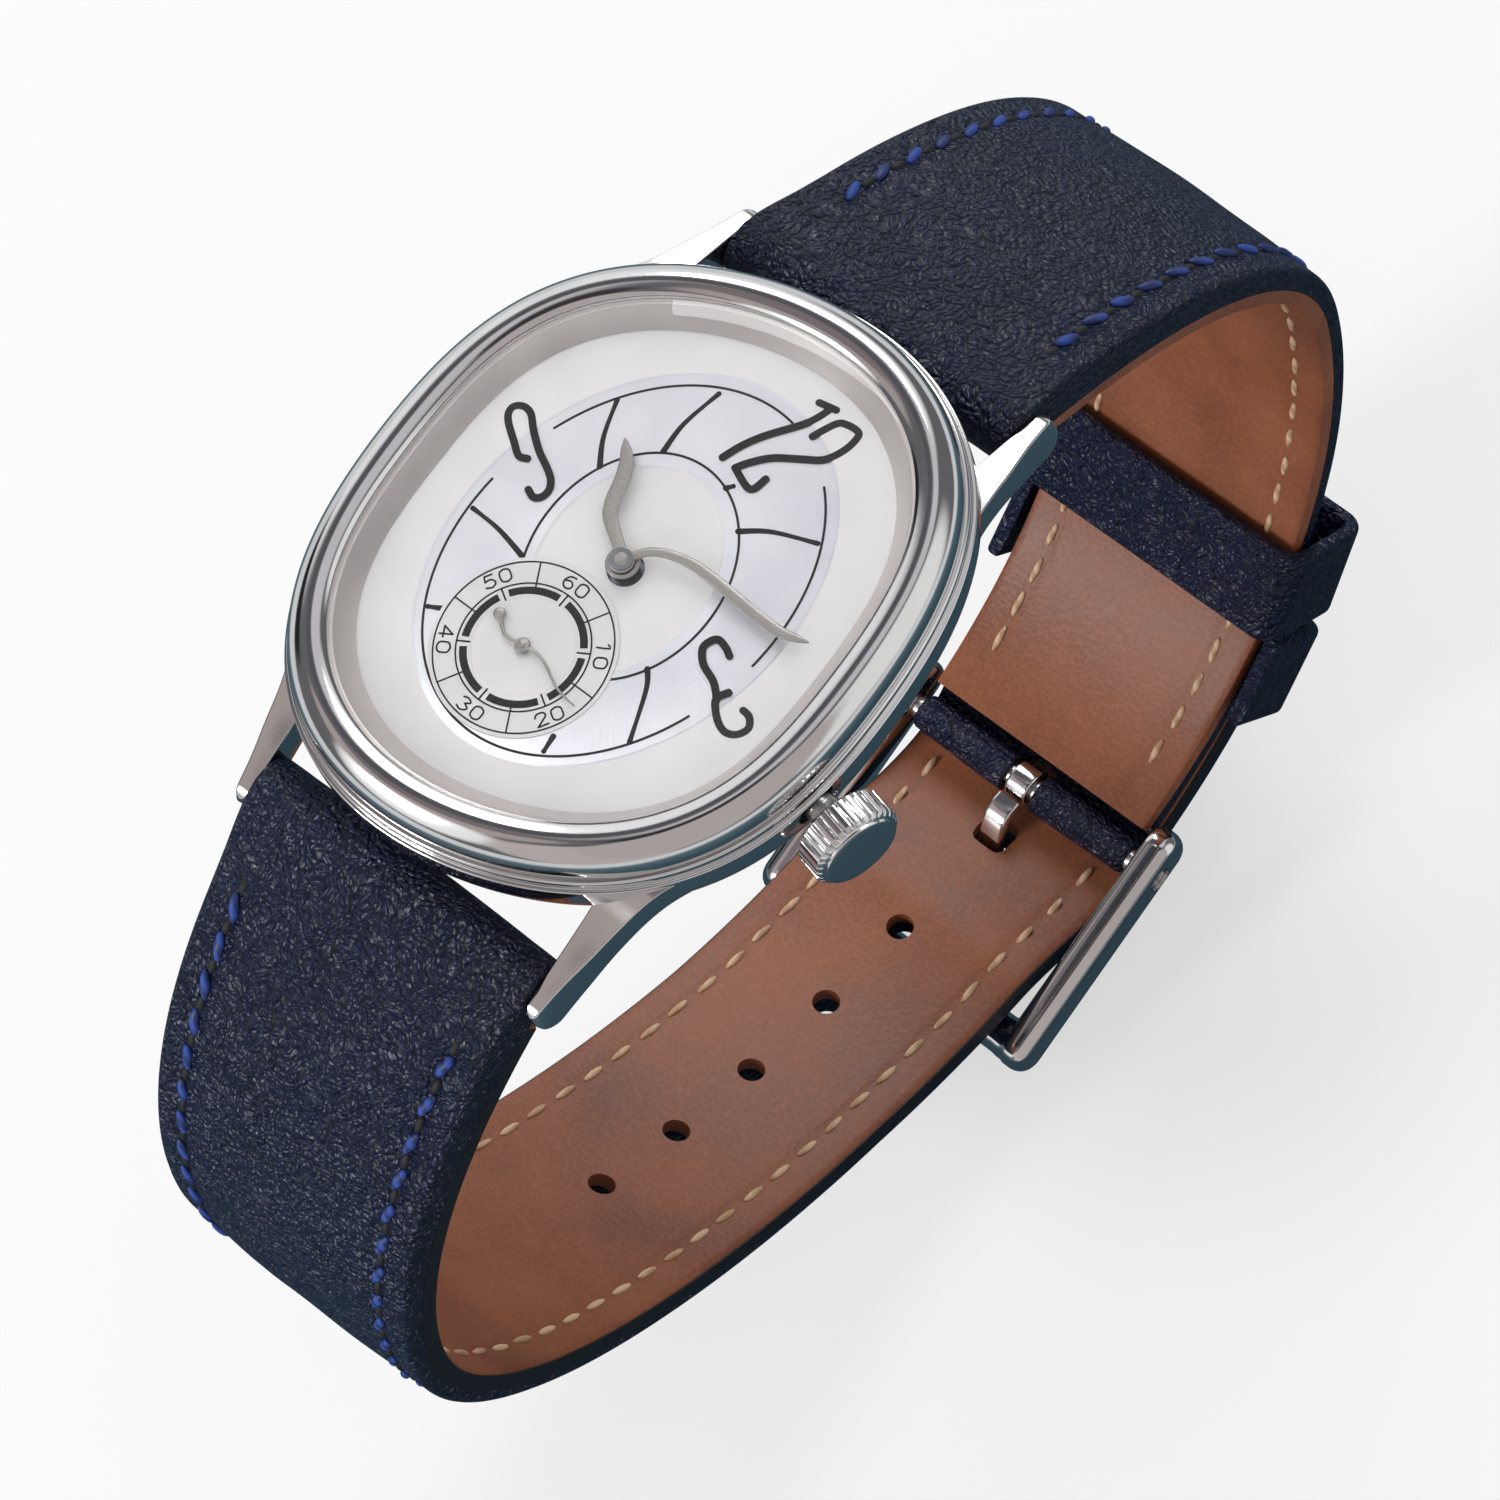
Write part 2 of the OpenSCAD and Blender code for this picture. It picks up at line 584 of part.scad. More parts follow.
// Ring that carries the movement in the case
module movement_ring() {
    z0 = plate_foot_z + 0.05;
    color("whitesmoke") difference() {
        head_slab(cavity_r - seat_gap, z0, plate_z);
        translate([0, 0, z0 - 1]) cylinder(r = plate_d / 2 + seat_gap, h = 10, $fn = 96);
        on_stem(plate_d / 2 - 1) cylinder(r = tube_r + seat_gap, h = ring_w + 4);
        for (a = clamp_turns) {
            in_movement(clamp_r * dir(a), z0 - 1) cylinder(r = 0.3 + seat_gap, h = 1.9);
        }
    }
}

// Two clamps with their screws, which hold the movement in its ring
module case_clamps() {
    color("silver") for (a = clamp_turns) {
        in_movement(clamp_r * dir(a), plate_foot_z - 0.25) union() {
            cylinder(r = 1.5, h = 0.22);
            translate([0, 0, -0.25]) cylinder(r = 0.7, h = 0.3);
            cylinder(r = 0.3, h = 1.2);
        }
    }
}

// Ellipse outline with its long axis turned clockwise by t
function oval(w, l, t, n = 72) = [for (i = [0:n - 1]) let (a = 360 * i / n, x = w * cos(a), y = l * sin(a))
    [x * cos(t) + y * sin(t), y * cos(t) - x * sin(t)]];

// Radius of that ellipse in the direction of a bearing
function oval_reach(w, l, t, b) = 1 / norm([sin(b - t) / w, cos(b - t) / l]);

// Radius at which a bearing line leaves the seconds dial, or 0 if it misses it
function sub_reach(b) =
    let (d = sub_at * bearing(b), k = d * d - sub_at * sub_at + sub_r * sub_r)
    k > 0 && d > 0 ? d + sqrt(k) : 0;

// Dial plate with a sunk middle and a sunk seconds dial
module dial_plate() {
    color("white") difference() {
        head_slab(dial_r, dial_z - dial_t, dial_z);
        translate([0, 0, dial_z - inner_step]) linear_extrude(1) difference() {
            polygon(oval(inner_w - 0.6, inner_l - 0.6, inner_lean));
            translate(sub_at) circle(r = sub_r + 0.3);
        }
        translate([sub_at[0], sub_at[1], dial_z - inner_step]) cylinder(r = 0.57 * sub_r, h = 1);
        translate([0, 0, dial_z - 2]) cylinder(r = 1.05, h = 4);
        translate([sub_at[0], sub_at[1], dial_z - 2]) cylinder(r = 0.35, h = 4);
    }
}

// Thin oval line, broken where the seconds dial starts
module oval_line(w, l, t) {
    difference() {
        polygon(oval(w + line_stroke / 2, l + line_stroke / 2, t));
        polygon(oval(w - line_stroke / 2, l - line_stroke / 2, t));
        translate(sub_at) circle(r = sub_r + ink_gap);
    }
}

// Round-ended stroke of even width through a few points
function stroke_end(p, s, w, a0) =
    [for (a = [a0 + 30:30:a0 + 150]) p + w / 2 * (s * cos(a) + [s[1], -s[0]] * sin(a))];
module stroke(p, w, steps = 5) {
    q = smooth(p, steps);
    n = len(q) - 1;
    b = band(q, function (u) w);
    polygon(concat([for (i = [0:n]) b[i]], stroke_end(q[n], side(q, n), w, 0),
        [for (i = [n + 1:2 * n + 1]) b[i]], stroke_end(q[0], side(q, 0), w, 180)));
}

// Printed numerals, ovals, hour lines and seconds ring
module dial_print() {
    twelve = [[[2.1, 13.35], [3.05, 13.55]],
        [[2.75, 13.05], [2.4, 12.25], [1.4, 10.5], [0.6, 9.1], [0.1, 8.05]],
        [[3.2, 11.75], [3.75, 13], [4.4, 13.5], [5.1, 13.25], [5.1, 12.3], [4.5, 11.1], [3.5, 10.25],
            [2.3, 9.5], [1.45, 8.7], [1, 7.95]],
        [[1.4, 7.82], [2.4, 7.5]],
        [[2.56, 7.92], [2.75, 8.4]]];
    three = [[[7.85, -0.5], [7.3, -0.25], [6.75, -0.2], [6.4, -0.65], [6.55, -1.2], [7.1, -1.8], [8.1, -2.2],
            [8.8, -2.75], [9.4, -3.6], [10.3, -4.05], [11.1, -3.8], [11.4, -3.1], [11.1, -2.6], [10.5, -2.45]],
        [[9.25, -2], [9.1, -2.32]]];
    nine = [[[-8.5, 1.7], [-9.1, 1.5], [-9.8, 2], [-10.8, 2.7], [-11.3, 3.3], [-11.1, 3.85],
            [-10.5, 3.95], [-9.7, 3.5], [-8.4, 2.5], [-7.3, 1.9], [-6.5, 1.3], [-6.3, 0.6], [-6.6, 0.15],
            [-7.3, 0.25]]];
    color("black") translate([0, 0, dial_z + 0.005]) linear_extrude(ink_t) {
        for (g = [twelve, three, nine], p = g) {
            stroke(p, numeral_stroke);
        }
        difference() {
            oval_line(oval_w, oval_l, lean);
            for (b = [19, 104, 282]) {
                rotate(-b) translate([0, oval_w + 1.5]) square([4.2, 6], center = true);
            }
        }
        oval_line(inner_w, inner_l, inner_lean);
        for (h = [1, 2, 4, 5, 7, 8, 10, 11]) {
            b = head_turn + 30 * h;
            room = (line_stroke + hour_stroke) / 2 + ink_gap;
            r0 = max(oval_reach(inner_w, inner_l, inner_lean, b + 3), sub_reach(b)) + room;
            r1 = oval_reach(oval_w, oval_l, lean, b - 1) - room;
            if (r1 - r0 > 1) {
                stroke([r0 * bearing(b + (sub_reach(b) > 0 ? 0 : 3)),
                    (r0 * 0.65 + r1 * 0.35) * bearing(b + 1),
                    (r0 * 0.3 + r1 * 0.7) * bearing(b - 2),
                    r1 * bearing(b - 1)], hour_stroke);
            }
        }
        translate(sub_at) {
            for (r = [sub_r, sub_r * 0.75]) {
                difference() {
                    circle(r = r);
                    circle(r = r - line_stroke);
                }
            }
            difference() {
                circle(r = sub_r * 0.68);
                circle(r = sub_r * 0.61);
                for (k = [0:2]) {
                    rotate(60 * k) square([0.55, 2 * sub_r], center = true);
                }
            }
            for (k = [0:5]) {
                rotate(30 + 60 * k) translate([-line_stroke / 2, sub_r * 0.75 + ink_gap])
                    square([line_stroke, sub_r * 0.25 - line_stroke - 2 * ink_gap]);
            }
        }
    }
}

// Hand blade along a bending line, with a hub
module hand(line, width, hub_r, hole_r) {
    color("darkgray") difference() {
        union() {
            linear_extrude(hand_t) polygon(band(smooth(line), width));
            cylinder(r = hub_r, h = hand_t);
        }
        translate([0, 0, -1]) cylinder(r = hole_r, h = hand_t + 2);
    }
}

module hour_hand() {
    l = hour_len;
    translate([0, 0, hour_z]) rotate([0, 0, -hour_bearing])
        hand([[0, 0.12 * l], [-0.03 * l, 0.24 * l], [0.06 * l, 0.45 * l], [0.07 * l, 0.68 * l], [0, l]],
            function (u) 0.75 * (1 - 0.85 * ease((u - 0.6) / 0.4)), 1, 0.76 + seat_gap);
}

module minute_hand() {
    l = minute_len;
    translate([0, 0, minute_z]) rotate([0, 0, -minute_bearing])
        hand([[-0.02 * l, 0.05 * l], [-0.055 * l, 0.12 * l], [-0.075 * l, 0.26 * l], [-0.02 * l, 0.45 * l],
            [0.015 * l, 0.7 * l], [0, l]],
            function (u) 0.5 * (1 - 0.8 * ease((u - 0.7) / 0.3)), 0.68, 0.42 + seat_gap);
}

module seconds_hand() {
    l = second_len;
    t = second_tail;
    translate([sub_at[0], sub_at[1], second_z]) rotate([0, 0, -second_bearing]) union() {
        hand([[-0.08 * t, -0.95 * t], [0.14 * t, -0.5 * t], [0, 0], [-0.06 * l, 0.2 * l],
            [-0.05 * l, 0.4 * l], [0.02 * l, 0.7 * l], [0, l]],
            function (u) 0.18 - 0.08 * u, 0.4, arbor_r + seat_gap);
        color("darkgray") translate([-0.08 * t, -t, 0]) cylinder(r = 0.36, h = hand_t);
    }
}

// Minute tube that carries the minute hand and drives the motion work
module cannon_pinion() {
    color("silver") in_movement([0, 0], plate_z + 0.08) difference() {
        union() {
            gear(12, m_cannon, 0.3, aim([0, 0], minute_wheel_at));
            cylinder(r = 0.42, h = cap_z - plate_z - 0.08);
            translate([0, 0, minute_z + hand_t + 0.02 - plate_z - 0.08]) cylinder(r = 0.66, h = 0.12);
        }
        translate([0, 0, -1]) cylinder(r = 0.28, h = minute_z - plate_z + 0.8);
    }
}

module minute_wheel() {
    color("goldenrod") in_movement(minute_wheel_at, plate_z + 0.1) difference() {
        union() {
            gear(36, m_cannon, 0.2, aim(minute_wheel_at, [0, 0]) + 5);
            gear(10, m_hour, 0.62, aim(minute_wheel_at, [0, 0]));
        }
        translate([0, 0, -1]) cylinder(r = 0.2 + run_gap, h = 3);
    }
}

module hour_wheel() {
    z0 = plate_z + 0.45;
    color("goldenrod") in_movement([0, 0], z0) difference() {
        union() {
            gear(40, m_hour, 0.22, aim([0, 0], minute_wheel_at) + 4.5);
            cylinder(r = 0.76, h = hour_z + hand_t - z0);
        }
        translate([0, 0, -1]) cylinder(r = 0.42 + run_gap, h = 5);
    }
}

// Places of the train's arbors
arbors = [third_at, fourth_at, escape_at, pallet_at, balance_at];

// Main plate with its bearings, stem channel and barrel seat
module main_plate() {
    color("gainsboro") difference() {
        union() {
            in_movement([0, 0], plate_foot_z) cylinder(r = plate_d / 2, h = plate_t, $fn = 96);
            in_movement(minute_wheel_at, plate_z - 0.2) cylinder(r = 0.2, h = 0.8);
        }
        in_movement([0, 0], plate_foot_z - 1) cylinder(r = 0.28 + run_gap, h = plate_t + 2);
        for (p = arbors) {
            in_movement(p, plate_foot_z - 1) cylinder(r = jewel_r + seat_gap, h = plate_t + 2);
        }
        in_movement(barrel_at, plate_foot_z - 1) cylinder(r = 0.5 + run_gap, h = 1.8);
        on_stem(stem_end - 0.3) cylinder(r = stem_r + 0.1, h = plate_d / 2);
        on_stem(crown_wheel_at[0] + 1) cylinder(r = 1.15, h = 0.9);
        in_movement([stem_end - 0.3, -stem_r - 0.1], plate_foot_z - 1)
            cube([plate_d / 2, 2 * stem_r + 0.2, 1 + stem_z - plate_foot_z]);
    }
}

// Piece of the bridge disc between two directions, with feet down to the plate
module bridge_piece(cut, feet) {
    difference() {
        union() {
            translate([0, 0, bridge_foot_z]) linear_extrude(bridge_t) intersection() {
                circle(r = plate_d / 2 - 0.1, $fn = 96);
                polygon(plan_scale * cut);
            }
            for (a = feet) {
                translate([foot_r * cos(a), foot_r * sin(a), bridge_foot_z])
                    cylinder(r = 0.72, h = plate_foot_z - bridge_foot_z - 0.01);
            }
        }
        for (a = feet) {
            translate([foot_r * cos(a), foot_r * sin(a), bridge_foot_z - 1])
                cylinder(r = 0.3 + seat_gap, h = 6);
        }
    }
}

feet_barrel = [28, 108];
feet_train = [-30, -75, -108];
feet_balance = [-157];

module barrel_bridge() {
    color("gainsboro") in_movement() difference() {
        bridge_piece([[-4.4, 14], [-4.4, 1.2], [-1.2, 1.2], [-1.2, -1.3], [1.2, -1.3], [14, -1.3], [14, 14]],
            feet_barrel);
        translate([barrel_at[0], barrel_at[1], bridge_foot_z - 1]) cylinder(r = 0.5 + run_gap, h = 4);
        translate([crown_wheel_at[0], crown_wheel_at[1], bridge_foot_z - 1])
            cylinder(r = crown_face_r + run_gap, h = 4);
        translate([0, 0, bridge_foot_z - 1]) cylinder(r = 0.28 + run_gap, h = 4);
    }
}

module train_bridge() {
    color("gainsboro") in_movement() difference() {
        bridge_piece([[14, -1.5], [1.4, -1.5], [-1.4, -1.5], [-4.1, -4.6], [-6.4, -8.6], [-9, -14],
            [14, -14]], feet_train);
        for (p = arbors) {
            translate([p[0], p[1], bridge_foot_z - 1]) cylinder(r = jewel_r + seat_gap, h = 4);
        }
        translate([crown_wheel_at[0], crown_wheel_at[1], bridge_foot_z - 1])
            cylinder(r = crown_face_r + 0.2, h = 4);
    }
}

module balance_cock() {
    color("gainsboro") in_movement() difference() {
        bridge_piece([[-14, 1.8], [-6, 1.8], [-5.2, 0.6], [-3.9, -3.4], [-4.2, -4.5], [-5.2, -4.8],
            [-7.5, -5.4], [-14, -7]], feet_balance);
        for (p = arbors) {
            translate([p[0], p[1], bridge_foot_z - 1]) cylinder(r = jewel_r + seat_gap, h = 4);
        }
    }
}

module bridge_screws() {
    color("steelblue") in_movement() for (a = concat(feet_barrel, feet_train, feet_balance)) {
        translate([foot_r * cos(a), foot_r * sin(a), bridge_foot_z - 0.17]) difference() {
            union() {
                cylinder(r = 0.55, h = 0.16);
                cylinder(r = 0.3, h = plate_foot_z - bridge_foot_z + 0.16);
            }
            translate([0, 0, 0]) cube([1.4, 0.14, 0.12], center = true);
        }
    }
}

// Bearing stones in plate and bridges
module jewels() {
    color("crimson") in_movement() {
        for (p = arbors, z = [plate_foot_z + 0.02, bridge_foot_z + 0.05]) {
            translate([p[0], p[1], z]) tube(jewel_r, arbor_r * 0.6 + run_gap, 0.4);
        }
    }
}

// Heights of the going train between bridge and plate
barrel_z = bridge_z + 0.1;

module barrel() {
    color("goldenrod") in_movement(barrel_at, barrel_z) difference() {
        union() {
            gear(72, m_barrel, 0.25, aim(barrel_at, [0, 0]));
            cylinder(r = 72 * m_barrel / 2 - 1.15 * m_barrel, h = 0.75);
        }
        translate([0, 0, 0.12]) cylinder(r = 72 * m_barrel / 2 - 0.4, h = 2);
        translate([0, 0, -1]) cylinder(r = 0.5 + run_gap, h = 3);
    }
}

module barrel_cover() {
    color("goldenrod") in_movement(barrel_at, barrel_z + 0.66)
        tube(72 * m_barrel / 2 - 0.4 - seat_gap, 0.5 + run_gap, 0.09);
}

module barrel_arbor() {
    z0 = bridge_foot_z - 0.26;
    color("silver") in_movement(barrel_at, z0) cylinder(r = 0.5, h = plate_foot_z + 0.5 - z0);
}

// Flat spiral band
function spiral(r0, r1, turns, n) = [for (i = [0:n]) (r0 + (r1 - r0) * i / n) * dir(360 * turns * i / n)];

module mainspring() {
    r1 = 72 * m_barrel / 2 - 0.55;
    color("slategray") in_movement(barrel_at, barrel_z + 0.17)
        linear_extrude(0.44)
            polygon(band(spiral(0.75, r1, spring_turns, 40 * spring_turns), function (u) 0.1));
}

module ratchet_wheel() {
    color("silver") in_movement(barrel_at, bridge_foot_z - 0.25) difference() {
        gear(39, m_ratchet, 0.2, aim(barrel_at, crown_wheel_at));
        translate([0, 0, -1]) cylinder(r = 0.5 + seat_gap, h = 3);
    }
}

// Crown wheel: spur teeth for the ratchet wheel, face teeth for the winding pinion
module crown_wheel() {
    lift = stem_z - 0.8 - bridge_foot_z + 0.25;
    color("silver") in_movement(crown_wheel_at, bridge_foot_z - 0.25) difference() {
        union() {
            gear(26, m_ratchet, 0.2, aim(crown_wheel_at, barrel_at) + 180 / 26);
            cylinder(r = crown_face_r, h = lift);
        }
        translate([0, 0, -1]) cylinder(r = 1.15, h = lift + 2);
        for (k = [0:19]) {
            rotate([0, 0, 18 * k]) translate([crown_face_r, 0, lift]) cube([1.2, 0.26, 0.5], center = true);
        }
    }
}

module winding_pinion() {
    color("silver") on_stem(crown_wheel_at[0] + 1.15) difference() {
        gear(12, 0.14, 0.45, 0);
        translate([0, 0, -1]) cylinder(r = stem_r + run_gap, h = 3);
    }
}

// Wheel with its pinion and arbor between plate and bridge
module train_wheel(p, wheel, pinion, wheel_z, wheel_h, pinion_z, pinion_h, turn, pinion_turn, hub) {
    color("goldenrod") in_movement(p) union() {
        translate([0, 0, wheel_z]) spoked(wheel[0], wheel[1], wheel_h, turn, 5, hub);
        translate([0, 0, pinion_z]) gear(pinion[0], pinion[1], pinion_h, pinion_turn);
        translate([0, 0, bridge_z + 0.04]) cylinder(r = arbor_r * 1.6, h = plate_foot_z - bridge_z - 0.08);
        translate([0, 0, bridge_foot_z + 0.1]) cylinder(r = arbor_r * 0.6, h = plate_foot_z + 0.3 - bridge_foot_z);
    }
}

module centre_wheel() {
    color("goldenrod") in_movement() union() {
        translate([0, 0, plate_foot_z - 0.22]) spoked(80, m_centre, 0.15, aim([0, 0], third_at), 5, 0.9);
        translate([0, 0, barrel_z - 0.02]) gear(12, m_barrel, 0.3, aim([0, 0], barrel_at) + 15);
        translate([0, 0, bridge_foot_z + 0.1]) cylinder(r = 0.28, h = plate_foot_z - bridge_foot_z - 0.1);
        translate([0, 0, plate_foot_z - 0.1]) cylinder(r = 0.28 - seat_gap, h = minute_z - plate_foot_z - 0.1);
    }
}

module third_wheel() {
    train_wheel(third_at, [75, m_third], [10, m_centre], bridge_z + 0.15, 0.15, plate_foot_z - 0.28, 0.26,
        aim(third_at, fourth_at), aim(third_at, [0, 0]) + 18, 0.5);
}

module fourth_wheel() {
    union() {
        train_wheel(fourth_at, [70, m_fourth], [10, m_third], bridge_z + 0.45, 0.15, bridge_z + 0.1, 0.28,
            aim(fourth_at, escape_at), aim(fourth_at, third_at) + 18, 0.5);
        color("silver") in_movement(fourth_at, plate_foot_z)
            cylinder(r = arbor_r * 0.6, h = second_z - plate_foot_z - 0.2);
        color("silver") in_movement(fourth_at, dial_z - dial_t)
            cylinder(r = arbor_r, h = second_z + hand_t - dial_z + dial_t);
    }
}

// Escape wheel with fifteen club teeth
module escape_wheel() {
    r = plan_scale * 1.95;
    teeth = [for (i = [0:14], c = [[0, 0.72], [0.22, 1], [0.36, 1.02], [0.5, 0.74]])
        r * c[1] * dir(24 * (i + c[0]))];
    color("silver") in_movement(escape_at) union() {
        translate([0, 0, plate_foot_z - 0.22]) linear_extrude(0.12) difference() {
            polygon(teeth);
            for (k = [0:3]) {
                rotate(90 * k) translate([0.436 * r, 0]) circle(r = 0.185 * r);
            }
        }
        translate([0, 0, bridge_z + 0.44]) gear(7, m_fourth, 0.2, aim(escape_at, fourth_at) + 180 / 7);
        translate([0, 0, bridge_z + 0.04]) cylinder(r = arbor_r, h = plate_foot_z - bridge_z - 0.08);
        translate([0, 0, bridge_foot_z + 0.1]) cylinder(r = arbor_r * 0.6, h = plate_foot_z + 0.3 - bridge_foot_z);
    }
}

// Lever with two pallet arms and a forked end towards the balance
module pallet_fork() {
    a = aim(pallet_at, balance_at);
    reach = norm(balance_at - pallet_at) / plan_scale - 1.15;
    color("silver") in_movement(pallet_at) union() {
        translate([0, 0, plate_foot_z - 0.22]) rotate([0, 0, a]) linear_extrude(0.12) union() {
            polygon(plan_scale * [[-0.3, -0.28], [reach - 0.4, -0.12], [reach, -0.42], [reach, -0.22],
                [reach - 0.3, 0], [reach, 0.22], [reach, 0.42], [reach - 0.4, 0.12], [-0.3, 0.28]]);
            polygon(plan_scale * [[0.25, 0], [-0.15, 0.9], [-0.5, 1.25], [-0.6, 1.1], [-0.35, 0.75], [-0.2, 0],
                [-0.35, -0.75], [-0.6, -1.1], [-0.5, -1.25], [-0.15, -0.9]]);
        }
        translate([0, 0, bridge_z + 0.04]) cylinder(r = arbor_r, h = plate_foot_z - bridge_z - 0.08);
        translate([0, 0, bridge_foot_z + 0.1]) cylinder(r = arbor_r * 0.6, h = plate_foot_z + 0.3 - bridge_foot_z);
    }
}

// Two-armed balance on its staff, with the roller's pin turned away from the lever
module balance_wheel() {
    a = aim(balance_at, pallet_at) + 180;
    z0 = bridge_z + 0.4;
    color("goldenrod") in_movement(balance_at) union() {
        translate([0, 0, z0]) tube(plan_scale * balance_r, plan_scale * balance_r - 0.4, 0.26);
        translate([0, 0, z0 + 0.06]) linear_extrude(0.14)
            square([2 * plan_scale * balance_r - 0.5, 0.5], center = true);
        translate([0, 0, bridge_z + 0.04]) cylinder(r = 0.2, h = plate_foot_z - bridge_z - 0.08);
        translate([0, 0, plate_foot_z - 0.36]) cylinder(r = 0.62, h = 0.1);
        translate([0.45 * cos(a), 0.45 * sin(a), plate_foot_z - 0.28]) cylinder(r = 0.09, h = 0.2);
        translate([0, 0, bridge_foot_z + 0.1]) cylinder(r = arbor_r * 0.6, h = plate_foot_z + 0.3 - bridge_foot_z);
    }
}

module hairspring() {
    color("steelblue") in_movement(balance_at, bridge_z + 0.12)
        linear_extrude(0.14)
            polygon(band(spiral(0.3, plan_scale * 1.7, hair_turns, 30 * hair_turns), function (u) 0.05));
}

// Layer of the 12 o'clock half between two distances from its outer face
module layer_12(top, s0, s1, steps, crown, round) {
    sweep([for (k = [0:steps])
        let (s = s0 + (s1 - s0) * k / steps, full = total_t(s))
        top ? layer_ring(s, roll_r, full - lining_t - seat_gap, half_w(s), crown, round)
            : layer_ring(s, roll_r - full + lining_t, lining_t, half_w(s), 0.02, 0.05)]);
}

// Layer of the 6 o'clock half, up to the tip of the tail
module layer_6(top, u0, u1, steps, crown, round) {
    sweep([for (k = [0:steps])
        let (u = u1 - (u1 - u0) * k / steps, s = loop_len - u, full = total_t(u), n = roll_r + lap_at(s))
        top ? layer_ring(s, n, full - lining_t - seat_gap, tip_w(u), crown, round)
            : layer_ring(s, n - full + lining_t, lining_t, tip_w(u), 0.02, 0.05)]);
}

// Leather rolled round a bar, with its bore
module roll(p, r, w) {
    difference() {
        bar_at(p, r, w);
        bar_at(p, bar_r + seat_gap, w + 2);
    }
}

bar_12 = [lug_bar_y, lug_bar_z];
bar_6 = [-lug_bar_y, lug_bar_z];

// Opening in the 12 o'clock half for the tongue's ring
module tongue_slot() {
    on_strap(half_12_len) translate([0, 0.5, 0])
        cube([tongue_w + 2 * tongue_gap, 2 * (bar_r + 0.5 + leather_gap) + 1, 12], center = true);
}

module strap_12_leather() {
    color("midnightblue") {
        difference() {
            union() {
                difference() {
                    layer_12(true, 0.2, half_12_len - 0.6, 56, 0.25, 0.35);
                    bar_at(bar_12, roll_r - 0.3, strap_w + 2);
                    bar_at(buckle_bar_at, buckle_roll_r - 0.3, strap_w + 2);
                }
                roll(bar_12, roll_r - 0.03, strap_w);
                roll(buckle_bar_at, buckle_roll_r, strap_end_w);
            }
            tongue_slot();
        }
    }
}

module strap_12_lining() {
    color("peru") difference() {
        layer_12(false, 2.2, half_12_len - 0.8, 54, 0, 0);
        bar_at(bar_12, roll_r, strap_w + 2);
        bar_at(buckle_bar_at, buckle_roll_r + seat_gap, strap_w + 2);
        tongue_slot();
    }
}

// Turns a piece about the buckle bar, as the tongue swings
module about_bar(angle) {
    translate([0, buckle_bar_at[0], buckle_bar_at[1]])
        rotate([angle, 0, 0])
            translate([0, -buckle_bar_at[0], -buckle_bar_at[1]]) children();
}

// Round holes and the tongue's stretched hole, with room for its swing, through the 6 o'clock half
module strap_holes() {
    first = loop_len - half_12_len - 5;
    for (k = [1:free_holes]) {
        s = half_12_len + 5 + k * hole_pitch;
        v = outward(s);
        p = on_loop(s, 0);
        translate([0, p[0], p[1]]) rotate([atan2(v[1], v[0]) - 90, 0, 0])
            cylinder(r = hole_d / 2, h = 14, center = true, $fn = 24);
    }
    for (swing = [0, 3])
        about_bar(swing)
            across(tongue_w + 2 * tongue_gap)
                polygon(band(tongue_path, function (u) tongue_t + 2 * tongue_gap));
}

module strap_6_leather() {
    color("midnightblue") difference() {
        union() {
            difference() {
                layer_6(true, 0.2, half_6_len, 84, 0.25, 0.35);
                bar_at(bar_6, roll_r - 0.3, strap_w + 2);
            }
            roll(bar_6, roll_r - 0.03, strap_w);
        }
        strap_holes();
    }
}

module strap_6_lining() {
    color("peru") difference() {
        layer_6(false, 2.2, half_6_len - 0.6, 82, 0, 0);
        bar_at(bar_6, roll_r, strap_w + 2);
        strap_holes();
    }
}

// Two spring bars with thin tips in the lugs
module spring_bars() {
    color("silver") for (p = [bar_12, bar_6]) {
        bar_at(p, bar_r, lug_gap - 0.3);
        bar_at(p, 0.38, lug_gap + 1.4);
    }
}

arm_x = strap_end_w / 2 + 0.45;

module buckle_bar() {
    color("silver") bar_at(buckle_bar_at, bar_r, 2 * arm_x + 2 * arm_w - 0.5);
}

// Buckle frame: two rounded arms, the front bar and the pivot holes
module buckle_frame() {
    back = buckle_bar_at - arm_back * unit(front_bar_at - buckle_bar_at);
    run = front_bar_at - back;
    color("silver") difference() {
        union() {
            for (sx = [-1, 1]) {
                translate([sx * (arm_x + arm_w / 2), 0, 0]) union() {
                    bar_at(back, arm_r, arm_w);
                    bar_at(front_bar_at, arm_r, arm_w);
                    translate([0, back[0], back[1]]) rotate([atan2(run[1], run[0]), 0, 0])
                        translate([-arm_w / 2, 0, -arm_r]) cube([arm_w, norm(run), 2 * arm_r]);
                }
            }
            bar_at(front_bar_at, front_r, 2 * arm_x + 1);
        }
        bar_at(buckle_bar_at, bar_r + run_gap, 2 * arm_x + 2 * arm_w + 2);
    }
}

// Tongue: ring on the bar, bend through the hole, straight end on the front bar
module buckle_tongue() {
    color("silver") difference() {
        union() {
            across(tongue_w)
                polygon(band(tongue_path, function (u) tongue_t * (1 - 0.3 * ease((u - 0.8) / 0.2))));
            bar_at(buckle_bar_at, bar_r + 0.5, tongue_w);
        }
        bar_at(buckle_bar_at, bar_r + run_gap, tongue_w + 4);
    }
}

// Places a keeper's section on the strap, with X across, Y along and Z outward
module on_strap(s) {
    v = outward(s);
    p = on_loop(s, 0);
    translate([0, p[0], p[1]]) rotate([atan2(v[1], v[0]) - 90, 0, 0]) children();
}

keeper_w = 2 * half_w(half_12_len - free_keeper_out - free_keeper_len / 2) + 2 * leather_gap;

